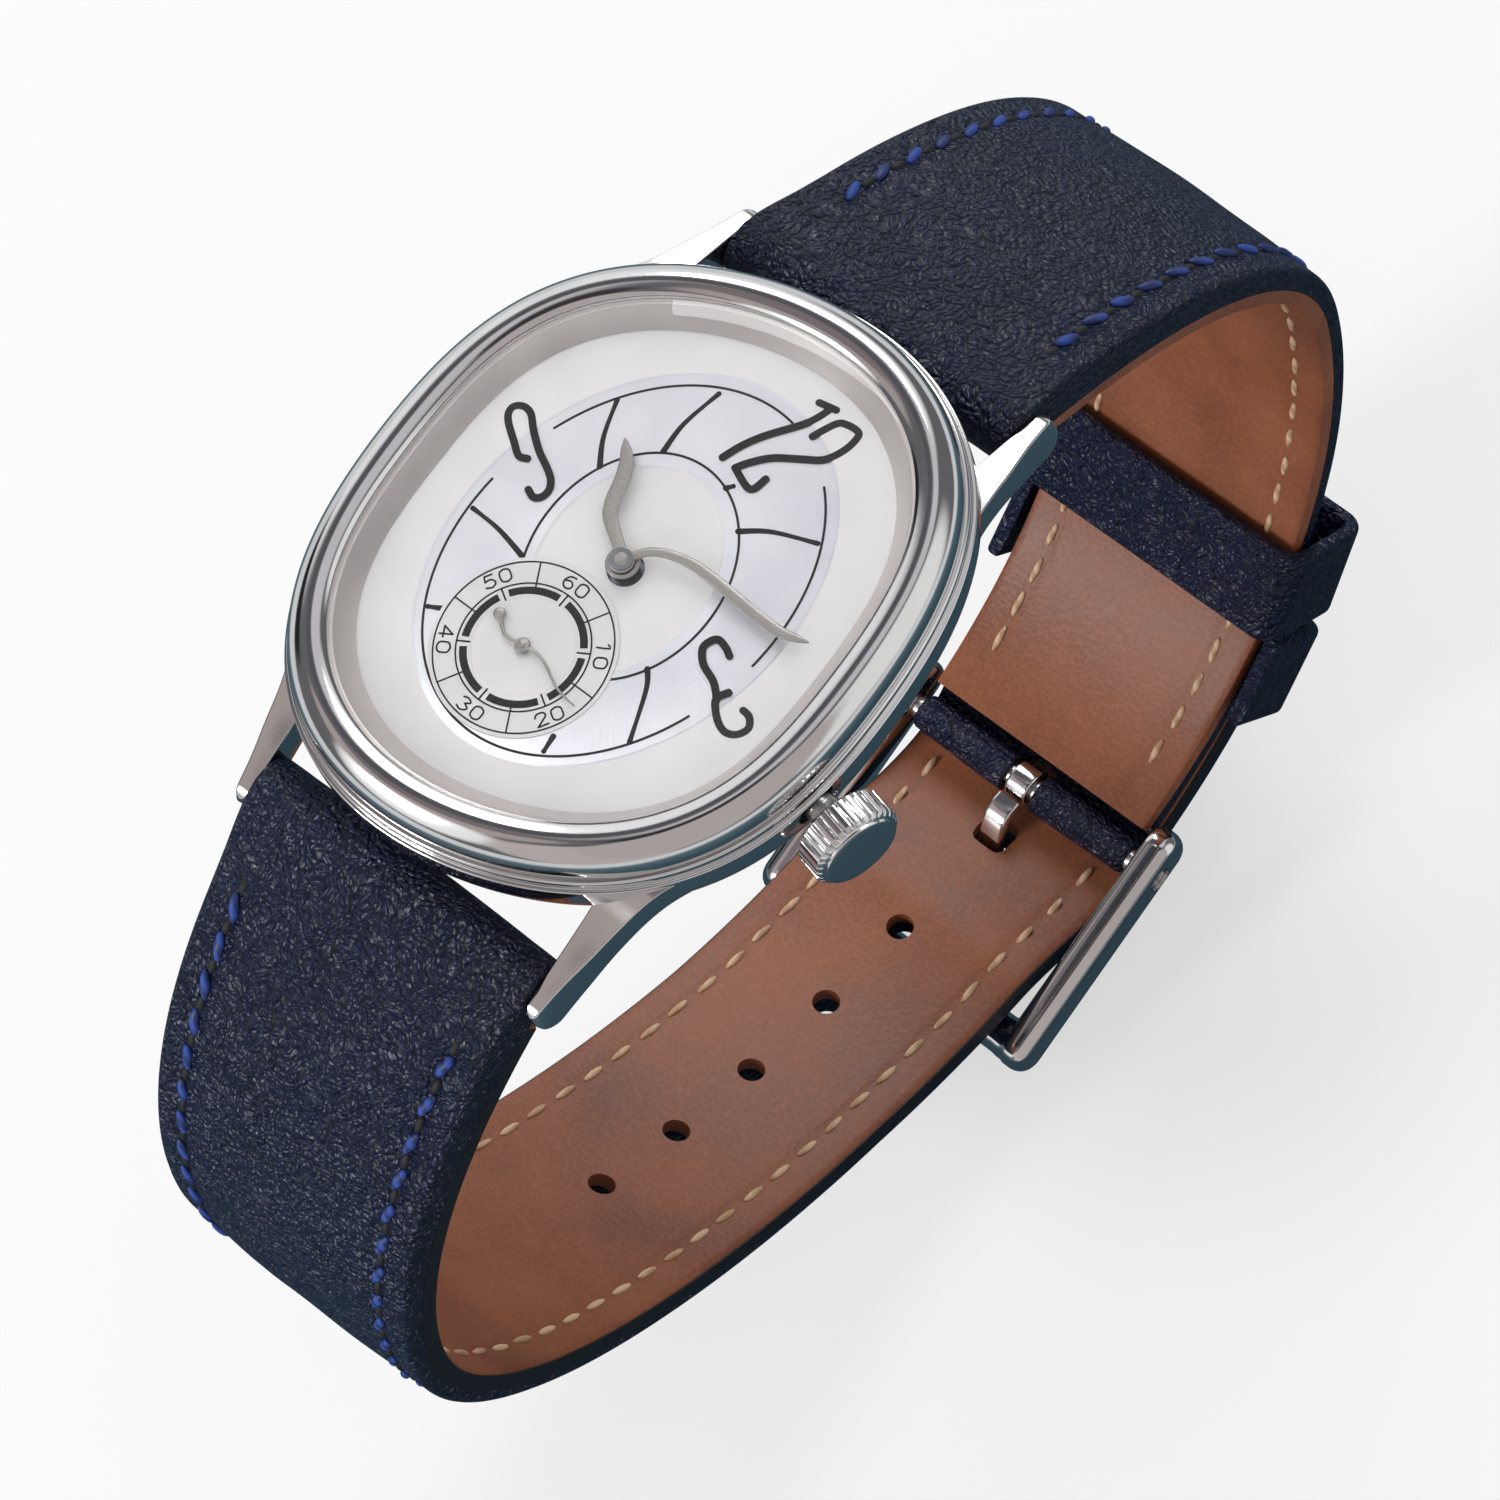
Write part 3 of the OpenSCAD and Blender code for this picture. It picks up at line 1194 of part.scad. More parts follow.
// Rectangle in the XZ plane with its two outer corners rounded, and the inner ones too if asked
function arc_points(c, r, a0, a1) = [for (k = [0:6]) c + r * dir(a0 + (a1 - a0) * k / 6)];
function keeper_line(w, z0, z1, r, inner_r) = concat(
    arc_points([w / 2 - r, z1 - r], r, 0, 90), arc_points([-w / 2 + r, z1 - r], r, 90, 180),
    inner_r > 0 ? arc_points([-w / 2 + inner_r, z0 + inner_r], inner_r, 180, 270) : [[-w / 2, z0]],
    inner_r > 0 ? arc_points([w / 2 - inner_r, z0 + inner_r], inner_r, 270, 360) : [[w / 2, z0]]);

// Keeper leather between two heights over the loop line
module keeper(len, foot, top, open) {
    r = keeper_round - keeper_t;
    rotate([90, 0, 0]) linear_extrude(len, center = true) difference() {
        polygon(keeper_line(keeper_w + 2 * keeper_t, open ? foot : foot - keeper_t, top + keeper_t, keeper_round,
            open ? 0 : keeper_round));
        polygon(keeper_line(keeper_w, open ? foot - 1 : foot, top, r, open ? 0 : r));
    }
}

// Fixed keeper: outer band and two sides down to the lining
module fixed_keeper() {
    color("midnightblue") on_strap(half_12_len - keeper_out)
        keeper(fixed_keeper_len, roll_r - strap_t, roll_r + lap + leather_gap, true);
}

// Free keeper: closed band round both strap layers
module free_keeper() {
    color("midnightblue") on_strap(half_12_len - free_keeper_out)
        keeper(free_keeper_len, roll_r - strap_t - leather_gap - keeper_slack, roll_r + lap + leather_gap, false);
}

case_middle();
bezel();
crystal();
crystal_gasket();
inner_flange();
case_back();
case_back_gasket();
crown_tube();
crown();
crown_gasket();
winding_stem();
movement_ring();
case_clamps();
dial_plate();
dial_print();
hour_hand();
minute_hand();
seconds_hand();
cannon_pinion();
minute_wheel();
hour_wheel();
main_plate();
barrel_bridge();
train_bridge();
balance_cock();
bridge_screws();
jewels();
barrel();
barrel_cover();
barrel_arbor();
mainspring();
ratchet_wheel();
crown_wheel();
winding_pinion();
centre_wheel();
third_wheel();
fourth_wheel();
escape_wheel();
pallet_fork();
balance_wheel();
hairspring();
strap_12_leather();
strap_12_lining();
strap_6_leather();
strap_6_lining();
spring_bars();
buckle_bar();
buckle_frame();
buckle_tongue();
fixed_keeper();
free_keeper();
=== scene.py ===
import json
import math

import bmesh
import bpy
import numpy as np
from mathutils import Matrix, Vector


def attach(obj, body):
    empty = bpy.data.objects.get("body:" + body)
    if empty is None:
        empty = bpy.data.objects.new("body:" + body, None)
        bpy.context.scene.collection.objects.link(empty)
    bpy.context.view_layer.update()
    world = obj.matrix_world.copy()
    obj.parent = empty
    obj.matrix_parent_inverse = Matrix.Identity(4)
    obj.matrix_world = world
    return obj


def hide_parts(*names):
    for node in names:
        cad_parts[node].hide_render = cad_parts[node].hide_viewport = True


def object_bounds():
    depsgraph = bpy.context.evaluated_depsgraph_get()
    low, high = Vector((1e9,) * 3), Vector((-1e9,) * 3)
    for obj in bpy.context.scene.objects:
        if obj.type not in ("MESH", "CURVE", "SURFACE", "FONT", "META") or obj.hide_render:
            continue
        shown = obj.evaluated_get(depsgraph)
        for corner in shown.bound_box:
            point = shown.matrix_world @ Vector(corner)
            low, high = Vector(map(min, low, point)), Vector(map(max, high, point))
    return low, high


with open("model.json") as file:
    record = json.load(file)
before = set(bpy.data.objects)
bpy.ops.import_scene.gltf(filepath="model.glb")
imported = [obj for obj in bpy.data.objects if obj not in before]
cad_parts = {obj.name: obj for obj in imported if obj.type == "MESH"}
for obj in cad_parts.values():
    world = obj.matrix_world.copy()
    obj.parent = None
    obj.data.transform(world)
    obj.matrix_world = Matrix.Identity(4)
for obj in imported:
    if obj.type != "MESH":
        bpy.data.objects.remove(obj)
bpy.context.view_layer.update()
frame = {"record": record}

# Shapes are worked out in millimetres and become metres when a mesh is finished
MM = 0.001
HEAD = "head_and_strap"

# Case
CASE_R = 18.25
STRETCH = 1.2
LEAN = 8.5
CORNER_SWELL = 0.42
CORNER_DIR = 56
BACK_Z = 0.9
BEZEL_Z = 6.2
CREST_Z = 8.5
RIM_Z = 8.0
CRYSTAL_Z = 7.5
TIER_W = 0.25
TIER_H = 0.75
CAVITY_R = 14.75
BEZEL_FOOT_R = 17.75
CRYSTAL_R = 15.3
FLANGE_FOOT_R = 13.9
GASKET_T = 0.3
DIAL_R = 14.72
DIAL_Z = 6.3
LUG_TIP_Y = 21.75
LUG_IN_X = 10.2
LUG_TIP_W = 1.25
LUG_TIP_Z = 1.787
LUG_FOOT_Z = -0.563
BAR_Y = 20.1
BAR_Z = 0.8

# Dial and hands
HEAD_TURN = 12
SUB_AT = (-1.435, -6.749)
HOUR_Z = 6.9
MINUTE_Z = 7.2
SECOND_Z = 6.55
HAND_T = 0.14
DIAL_STEP = 0.07
SUB_RISE = 0.06
SUB_R = 5
SUB_SUNK = 2.9
INK_T = 0.02
# Width, length and clockwise turn of the printed ovals
OUTER_OVAL = (9.25, 12.05, 8.1)
INNER_OVAL = (5.6, 6.87, -7.9)
HOUR_BEARING = 320
MINUTE_BEARING = 78
SECOND_BEARING = 102
HOUR_LEN = 7.3
MINUTE_LEN = 11.5
SECOND_LEN = 4.7
SECOND_TAIL = 2.3
# Ends of the inner oval, in degrees from 3 o'clock
INNER_FROM = -58.75
INNER_TO = 212.5

# Crown
CROWN_R = 2.7
CROWN_LEN = 2.4
STEM_Z = 3.3
CROWN_X = 17.82
FLUTES = 30
FLUTE_DEPTH = 0.17

# Strap
STRAP_W = 20
STRAP_END_W = 16.5
TAPER_LEN = 78
STRAP_LUG_T = 4
STRAP_T = 2.4
PAD_LEN = 36
LINING_T = 1
HALF_12 = 79.8
TAIL = 26
HOLE_PITCH = 6.8
HOLE_D = 1.7
LEATHER_GAP = 0.3
SEAM = 0.03
STITCH_IN = 2.1
STITCH_PITCH = 2.5
STITCH_START = 6
CROWN_LOW = 0.08
LUG_FILL = 0.12
ROLL_IN = 0.03
BAR_FIT = 0.05
TIP_LEN = 9

# Wrist loop
LOOP_HALF = 38.8
LOOP_MID_Y = 3.15
LOOP_MID_Z = 24.1
LOOP_DROP = 34
LOOP_BULGE = 0.2

# Buckle and keepers
BUCKLE_LEN = 12.1
ARM_BACK = 1.4
ARM_R = 1.45
ARM_W = 1.9
FRONT_R = 1.3
TONGUE_W = 1.6
TONGUE_T = 1
TONGUE_ROOM = 0.4
BAR_R = 0.75
ROLL_END_R = 1.25
FIXED_LEN = 6
FREE_LEN = 6.4
KEEPER_T = 0.9
KEEPER_ROUND = 1.5
KEEPER_SLACK = 0.2
KEEPER_GAP = 0.35
KEEPER_OUT = 13.4


def ease(t):
    """Smooth step from 0 to 1."""
    u = np.clip(t, 0, 1)
    return u * u * (3 - 2 * u)


def compass(bearing):
    """Unit vector at a clockwise bearing from the strap's 12."""
    a = math.radians(bearing)
    return np.array([math.sin(a), math.cos(a)])


def spline(points, steps=8):
    """Smooth curve through the points."""
    p = np.asarray(points, float)
    n = len(p)
    out = []
    for i in range(n - 1):
        a, b, c, d = p[max(i - 1, 0)], p[i], p[i + 1], p[min(i + 2, n - 1)]
        for k in range(steps):
            t = k / steps
            out.append(0.5 * (2 * b + (c - a) * t + (2 * a - 5 * b + 4 * c - d) * t**2
                              + (3 * b - a - 3 * c + d) * t**3))
    out.append(p[-1])
    return np.array(out)


def rounded(points, radius, steps=4):
    """Closed outline with its corners eased by up to the radius, or by a radius for each corner."""
    p = np.asarray(points, float)
    n = len(p)
    radii = radius if np.ndim(radius) else [radius] * n
    out = []
    for i in range(n):
        back, ahead = p[i - 1] - p[i], p[(i + 1) % n] - p[i]
        lb, la = np.linalg.norm(back), np.linalg.norm(ahead)
        r = min(radii[i], 0.48 * lb, 0.48 * la)
        if r < 1e-4:
            out.append(p[i])
            continue
        a, c = p[i] + back / lb * r, p[i] + ahead / la * r
        for k in range(steps + 1):
            t = k / steps
            out.append((1 - t) ** 2 * a + 2 * t * (1 - t) * p[i] + t**2 * c)
    return np.array(out)


def skin(bm, rings, closed=True, caps=True, join=False):
    """Skin through rings of points, each ring extruded from the one before it."""
    verts = [bm.verts.new(p) for p in rings[0]]
    count = len(verts)
    spans = count if closed else count - 1

    def chain(vs):
        return [bm.edges.get((vs[i], vs[(i + 1) % count])) for i in range(spans)]

    edges = [bm.edges.new((verts[i], verts[(i + 1) % count])) for i in range(spans)]
    first = edges
    for ring in rings[1:]:
        grown = bmesh.ops.extrude_edge_only(bm, edges=edges)["geom"]
        fresh = {g for g in grown if isinstance(g, bmesh.types.BMVert)}
        verts = [next(e.other_vert(v) for e in v.link_edges if e.other_vert(v) in fresh) for v in verts]
        for v, p in zip(verts, ring):
            v.co = p
        edges = chain(verts)
    if join:
        bmesh.ops.remove_doubles(bm, verts=bm.verts, dist=1e-5)
    elif caps:
        bmesh.ops.contextual_create(bm, geom=first)
        bmesh.ops.contextual_create(bm, geom=edges)
    return bm


def across(v):
    """A direction in a plane, turned a quarter clockwise."""
    return np.array([v[1], -v[0]])


def left_of(line, closed=False):
    """Unit vectors to the left of a line, at each of its points."""
    d = np.roll(line, -1, 0) - np.roll(line, 1, 0) if closed else np.gradient(line, axis=0)
    d /= np.linalg.norm(d, axis=1)[:, None]
    return np.stack([-d[:, 1], d[:, 0]], 1)


def set_at(line, at, up):
    """Points of a section, across the strap and up, set at a place in the YZ plane."""
    return [(x, at[0] + up[0] * h, at[1] + up[1] * h) for x, h in line]


def offset(x, y, points):
    """Points given from a corner."""
    return [(x + a, y + b) for a, b in points]


def box_line(x0, y0, x1, y1, radius, steps=4):
    """Rectangle with eased corners."""
    return rounded([(x0, y0), (x1, y0), (x1, y1), (x0, y1)], radius, steps)


def added(bm, name, coat=None):
    """Adds a shape in metres to the scene."""
    mesh = bpy.data.meshes.new(name)
    bm.to_mesh(mesh)
    bm.free()
    if coat:
        mesh.materials.append(coat)
    obj = bpy.data.objects.new(name, mesh)
    bpy.context.scene.collection.objects.link(obj)
    return obj


def in_metres(bm):
    bmesh.ops.recalc_face_normals(bm, faces=bm.faces)
    bmesh.ops.scale(bm, vec=(MM, MM, MM), verts=bm.verts)
    return bm


def soften(mesh, crease):
    """Smooth shading with creases at edges sharper than an angle."""
    mesh.shade_smooth()
    mesh.set_sharp_from_angle(angle=math.radians(crease))


def piece(bm, name, body, coat, stands_for=(), crease=32):
    """Finishes a shape in millimetres as an object in metres that rides on a body."""
    obj = added(in_metres(bm), name, coat)
    soften(obj.data, crease)
    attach(obj, body)
    if stands_for:
        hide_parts(*stands_for)
    return obj


HEAD_SIDES = 288
ANGLES = np.arange(HEAD_SIDES) * 360 / HEAD_SIDES


def level_line(reach, z, at=(0, 0), angles=ANGLES):
    """Line at one height round a place; its reach may be given for each angle, in degrees from 3 o'clock."""
    a = np.radians(angles)
    return np.stack([at[0] + reach * np.cos(a), at[1] + reach * np.sin(a), np.full(len(a), z)], 1)


def head_line(r, z):
    """The head's outline at one mean radius and height."""
    reach = (r + STRETCH * np.cos(np.radians(2 * (ANGLES - 90 + LEAN)))
             + CORNER_SWELL * np.cos(np.radians(4 * (ANGLES - CORNER_DIR))))
    return level_line(reach, z)


def head_ring(profile):
    """Closed ring whose section follows the head's outline."""
    lines = [head_line(r, z) for r, z in profile]
    return skin(bmesh.new(), lines + lines[:1], join=True)


def loop_at(t):
    """Point of the wrist loop's line in the YZ plane, t degrees round it."""
    c, s = math.cos(math.radians(t)), math.sin(math.radians(t))
    rise = TOP_RISE * s * (1 - TOP_LEAN * c) if s > 0 else LOOP_DROP * s * (1 + LOOP_BULGE * c)
    return np.array([LOOP_MID_Y + LOOP_HALF * c, -LOOP_MID_Z + rise])


# The loop's line passes through both spring bars
C_12 = (BAR_Y - LOOP_MID_Y) / LOOP_HALF
C_6 = (-BAR_Y - LOOP_MID_Y) / LOOP_HALF
S_12 = math.sqrt(1 - C_12**2)
S_6 = math.sqrt(1 - C_6**2)
TOP_LEAN = (S_12 - S_6) / (C_12 * S_12 - C_6 * S_6)
TOP_RISE = (BAR_Z + LOOP_MID_Z) / (S_12 * (1 - TOP_LEAN * C_12))
LOOP_START = math.degrees(math.acos(C_12))
LOOP_SWEEP = 360 + LOOP_START - math.degrees(math.acos(C_6))
LOOP_T = [LOOP_START - LOOP_SWEEP * i / 240 for i in range(241)]
LOOP_POINTS = np.array([loop_at(t) for t in LOOP_T])
LOOP_S = np.r_[0, np.cumsum(np.linalg.norm(np.diff(LOOP_POINTS, axis=0), axis=1))]
LOOP_LEN = LOOP_S[-1]
HALF_6 = LOOP_LEN - HALF_12 + TAIL
ROLL_R = STRAP_LUG_T / 2
ROLL_WALL = ROLL_R - ROLL_IN - BAR_R - BAR_FIT
ROLL_END_WALL = ROLL_END_R - BAR_R - BAR_FIT
LAP = STRAP_T + 0.15


def outward(s):
    """Unit vector away from the wrist at a distance along the loop."""
    t = np.interp(s, LOOP_S, LOOP_T)
    d = loop_at(t - 0.5) - loop_at(t + 0.5)
    d /= np.linalg.norm(d)
    return np.array([-d[1], d[0]])


def on_loop(s, n):
    """Point in the YZ plane at a distance along the loop and n above its line."""
    return loop_at(np.interp(s, LOOP_S, LOOP_T)) + n * outward(s)


def total_t(u):
    """Thickness of the strap at a distance from its lug end."""
    return STRAP_T + (STRAP_LUG_T - STRAP_T) * (1 - ease(u / PAD_LEN))


def half_w(u):
    """Half its width there."""
    return STRAP_W / 2 - (STRAP_W - STRAP_END_W) / 2 * min(u / TAPER_LEN, 1)


def lap_at(s):
    """Height of the 6 o'clock half above the loop's line, where it lies on the other half."""
    return LAP * ease((HALF_12 + BUCKLE_LEN - 1.5 - s) / (BUCKLE_LEN - 2))


def tip_w(u):
    """Half the width of the 6 o'clock half, rounded at its tip."""
    v = max(u - (HALF_6 - TIP_LEN), 0) / TIP_LEN
    return half_w(u) * math.sqrt(max(1 - v * v, 0.02))


BUCKLE_BAR = on_loop(HALF_12, ROLL_R - ROLL_END_R)
FRONT_BAR = on_loop(HALF_12 + BUCKLE_LEN, ROLL_R + LEATHER_GAP + FRONT_R)
ARM_X = STRAP_END_W / 2 + 0.45
FREE_OUT = KEEPER_OUT + (FIXED_LEN + FREE_LEN) / 2 + KEEPER_GAP
KEEPER_W = 2 * half_w(HALF_12 - FREE_OUT - FREE_LEN / 2) + 2 * LEATHER_GAP


def node(tree, kind, inputs=None, **settings):
    """Adds one shader node with its settings and its links or values."""
    made = tree.nodes.new(kind)
    for key, value in settings.items():
        setattr(made, key, value)
    for key, value in (inputs or {}).items():
        if isinstance(value, bpy.types.NodeSocket):
            tree.links.new(value, made.inputs[key])
        else:
            made.inputs[key].default_value = value
    return made


def linear(hex_value):
    """sRGB hex value as a linear colour."""
    parts = [int(hex_value[i:i + 2], 16) / 255 for i in (1, 3, 5)]
    return tuple(c / 12.92 if c <= 0.04045 else ((c + 0.055) / 1.055) ** 2.4 for c in parts) + (1,)


def ramp(tree, fac, stops):
    """Colour ramp from a factor; each stop is a place and a hex colour."""
    made = node(tree, "ShaderNodeValToRGB", {"Fac": fac})
    band = made.color_ramp
    while len(band.elements) < len(stops):
        band.elements.new(1)
    for element, (at, value) in zip(band.elements, stops):
        element.position = at
        element.color = linear(value)
    return made.outputs["Color"]


class Coat:
    """A procedural material with constant values on its shader, and shorthands for its nodes."""

    def __init__(self, name, **constants):
        self.made = bpy.data.materials.new(name)
        self.made.use_nodes = True
        self.tree = self.made.node_tree
        self.shader = self.tree.nodes["Principled BSDF"]
        for key, value in constants.items():
            self.shader.inputs[key.replace("_", " ")].default_value = value
        self.place = self.add("ShaderNodeTexCoord", {}, "Object")
        self.relief = None

    def add(self, kind, inputs, output, **settings):
        return node(self.tree, kind, inputs, **settings).outputs[output]

    def noise(self, size_mm, detail=2.0, place=None, output="Fac"):
        """Noise with features of one size."""
        at = self.place if place is None else place
        inputs = {"Vector": at, "Scale": 1 / (size_mm * MM), "Detail": detail}
        return self.add("ShaderNodeTexNoise", inputs, output)

    def lines(self, spacing_mm, times, turn):
        """Noise drawn out into hairlines, turned about Z."""
        drawn = self.add("ShaderNodeMapping", {"Vector": self.place, "Rotation": (0, 0, math.radians(turn)),
                                               "Scale": (1, times, 1)}, "Vector", vector_type="POINT")
        return self.noise(spacing_mm, 2, drawn)

    def cells(self, size_mm, place=None):
        """Rounded grains of one size; gives the outputs."""
        at = self.place if place is None else place
        return node(self.tree, "ShaderNodeTexVoronoi", {"Vector": at, "Scale": 1 / (size_mm * MM)},
                    feature="F1").outputs

    def times(self, a, b, **settings):
        return self.add("ShaderNodeMath", {0: a, 1: b}, "Value", operation="MULTIPLY", **settings)

    def between(self, value, low, high, start=0.0, end=1.0):
        """A value from one span, as a value in another."""
        inputs = {"Value": value, "From Min": start, "From Max": end, "To Min": low, "To Max": high}
        return self.add("ShaderNodeMapRange", inputs, "Result")

    def mixed(self, share, a, b):
        return self.add("ShaderNodeMix", {"Factor": share, "A": a, "B": b}, "Result", data_type="FLOAT")

    def tint(self, colour):
        self.tree.links.new(colour, self.shader.inputs["Base Color"])

    def shades(self, fac, *stops):
        self.tint(ramp(self.tree, fac, stops))

    def gloss(self, fac, low, high):
        """Roughness between two values."""
        self.tree.links.new(self.between(fac, low, high), self.shader.inputs["Roughness"])

    def bump(self, height, depth_mm, strength):
        """Surface relief of a given depth, on top of the relief before it."""
        inputs = {"Height": height, "Distance": depth_mm * MM, "Strength": strength}
        if self.relief is not None:
            inputs["Normal"] = self.relief
        self.relief = self.add("ShaderNodeBump", inputs, "Normal")
        self.tree.links.new(self.relief, self.shader.inputs["Normal"])


def polished_steel():
    """Stainless steel polished on a felt wheel: a mirror with a trace of waviness and hairlines."""
    coat = Coat("stainless steel, mirror polished", Metallic=1.0)
    coat.shades(coat.noise(6.0), (0.3, "#d9d8d7"), (0.7, "#e4e3e3"))
    coat.gloss(coat.noise(1.2, 4), 0.06, 0.13)
    coat.bump(coat.noise(4.0, 1), 0.02, 0.25)
    # Hairlines about 0.05 mm apart, drawn at 0.12 mm so that they show
    coat.bump(coat.lines(1.7, 14, 20), 0.004, 0.25)
    return coat.made


def brushed_steel():
    """Stainless steel grained in circles on a lapping wheel: soft concentric lines."""
    coat = Coat("stainless steel, circular grained", Metallic=1.0, Base_Color=linear("#cfcecd"))
    # Grain about 0.05 mm apart, drawn at 0.15 mm so that it shows
    rings = coat.add("ShaderNodeTexWave", {"Vector": coat.place, "Scale": 1 / (0.9 * MM), "Distortion": 1.5,
                                           "Detail": 3.0, "Detail Scale": 2.0}, "Fac", wave_type="RINGS",
                     rings_direction="Z")
    coat.gloss(rings, 0.24, 0.36)
    coat.bump(rings, 0.01, 0.4)
    return coat.made


def crystal_glass():
    """Domed watch glass: clear and glossy, with the faintest grease haze."""
    coat = Coat("mineral glass, polished", IOR=1.45, Base_Color=(1, 1, 1, 1), Transmission_Weight=1.0)
    coat.gloss(coat.noise(5.0, 3), 0.0, 0.015)
    return coat.made


def dial_silver(name, dark, pale, metal, rough, sunray=False):
    """Silver-plated dial: a fine grained face, or one with a sunray brush."""
    coat = Coat(name, Metallic=metal)
    coat.shades(coat.noise(5.0, 3), (0.3, dark), (0.7, pale))
    if sunray:
        # The angle round the hands' axis drives the brush lines
        parts = node(coat.tree, "ShaderNodeSeparateXYZ", {"Vector": coat.place}).outputs
        turn = coat.add("ShaderNodeMath", {0: parts["Y"], 1: parts["X"]}, "Value", operation="ARCTAN2")
        brush = coat.add("ShaderNodeTexNoise", {"W": turn, "Scale": 90.0, "Detail": 3.0}, "Fac",
                         noise_dimensions="1D")
        coat.gloss(brush, rough - 0.06, rough + 0.06)
        coat.bump(brush, 0.02, 0.5)
    else:
        # Grains of about 0.04 mm, drawn at 0.1 mm so that they show
        grain = coat.noise(0.1)
        coat.gloss(grain, rough - 0.05, rough + 0.05)
        coat.bump(grain, 0.006, 0.3)
    return coat.made


def even(name, size_mm, detail, dark, pale, low, high, depth_mm=0, strength=0, **constants):
    """Material with one fine pattern that drives its colour, its roughness and a slight relief."""
    coat = Coat(name, **constants)
    grain = coat.noise(size_mm, detail)
    coat.shades(grain, (0.3, dark), (0.7, pale))
    coat.gloss(grain, low, high)
    if depth_mm:
        coat.bump(grain, depth_mm, strength)
    return coat.made


def moulded(name, dark, pale, rough):
    """Moulded rubber or plastic: even colour with a fine satin texture."""
    return even(name, 0.6, 3, dark, pale, rough - 0.06, rough + 0.06, 0.01, 0.3, IOR=1.5)


def plated(name, dark, pale, rough):
    """Metal movement part: finely turned or stamped, plated, with a slight cloudiness."""
    coat = Coat(name, Metallic=1.0)
    coat.shades(coat.noise(1.5, 3), (0.3, dark), (0.7, pale))
    lines = coat.lines(1.2, 12, 35)
    coat.gloss(lines, rough - 0.06, rough + 0.06)
    coat.bump(lines, 0.004, 0.4)
    return coat.made


def navy_leather():
    """Calf leather, drum dyed and pebbled by hand: fine grains, longer wrinkles where it has been bent."""
    coat = Coat("calf leather, navy, pebble grain", IOR=1.5, Specular_IOR_Level=0.34)
    bend = coat.noise(2.2, 3, output="Color")
    shift = coat.add("ShaderNodeVectorMath", {0: bend, 1: (1.8 * MM,) * 3}, "Vector", operation="MULTIPLY")
    at = coat.add("ShaderNodeVectorMath", {0: coat.place, 1: shift}, "Vector", operation="ADD")
    # Grains 0.3 to 0.4 mm wide, pebbles of 0.9 mm, wrinkles 2 to 3 mm apart
    fine = coat.cells(0.36, at)["Distance"]
    pebbles = coat.add("ShaderNodeTexVoronoi", {"Vector": at, "Scale": 1 / (0.9 * MM), "Smoothness": 0.2},
                       "Distance", feature="SMOOTH_F1")
    wrinkles = coat.add("ShaderNodeTexNoise", {"Vector": at, "Scale": 1 / (2.6 * MM), "Detail": 4.0,
                                               "Roughness": 0.55}, "Fac", noise_type="RIDGED_MULTIFRACTAL")
    hide = coat.noise(9.0, 3)
    along = coat.add("ShaderNodeSeparateXYZ", {"Vector": coat.place}, "Y")
    # Only the half with the long wrinkles, beyond the case at 12, is boarded strongly
    folds = coat.times(wrinkles, coat.between(along, 0.25, 1.0, 0.0, 0.02))
    dyed = ramp(coat.tree, coat.mixed(0.45, fine, hide),
                [(0.2, "#101c40"), (0.45, "#0a1532"), (0.75, "#050b1f")])
    # Painted highlights: the tips of single grains are painted pale, mostly on the 6 o'clock half
    specks = coat.cells(0.3, at)
    chance = coat.add("ShaderNodeSeparateColor", {"Color": specks["Color"]}, "Red")
    tips = coat.between(specks["Distance"], 1.0, 0.0, 0.1, 0.42)
    speck_highlight = coat.times(tips, coat.between(chance, -1.2, 1.1))
    speck_highlight = coat.times(speck_highlight, coat.between(along, 0.75, 0.12, -0.018, 0.0), use_clamp=True)
    coat.tint(coat.add("ShaderNodeMix", {0: speck_highlight, 6: dyed, 7: linear("#7c7e90")}, 2, data_type="RGBA"))
    coat.gloss(fine, 0.26, 0.5)
    coat.bump(hide, 0.3, 0.5)
    coat.bump(folds, 0.07, 0.8)
    coat.bump(coat.times(pebbles, -1.0), 0.2, 0.8)
    coat.bump(coat.times(fine, -1.0), 0.26, 1.0)
    return coat.made


def lining_leather():
    """Vegetable-tanned lining calf, plated smooth: warm brown with small pores and a dull sheen."""
    coat = Coat("lining leather, tan, smooth plated", IOR=1.48)
    hide = coat.noise(7.0, 4)
    pores = coat.cells(0.28)["Distance"]
    coat.shades(coat.mixed(0.25, hide, pores), (0.25, "#6b3a22"), (0.5, "#844a2c"), (0.75, "#965736"))
    coat.gloss(hide, 0.42, 0.58)
    coat.bump(hide, 0.1, 0.4)
    coat.bump(pores, 0.03, 0.5)
    return coat.made


def thread(name, dark, pale):
    """Waxed linen thread: two twisted plies with a dull wax sheen."""
    coat = Coat(name, IOR=1.46)
    # Plies about 0.15 mm wide
    inputs = {"Vector": coat.place, "Scale": 1 / (2.2 * MM), "Distortion": 1.0}
    ply = coat.add("ShaderNodeTexWave", inputs, "Fac", bands_direction="DIAGONAL")
    coat.shades(ply, (0.2, dark), (0.8, pale))
    coat.gloss(ply, 0.5, 0.7)
    coat.bump(ply, 0.05, 0.7)
    return coat.made


STEEL = polished_steel()
GRAINED = brushed_steel()
GLASS = crystal_glass()
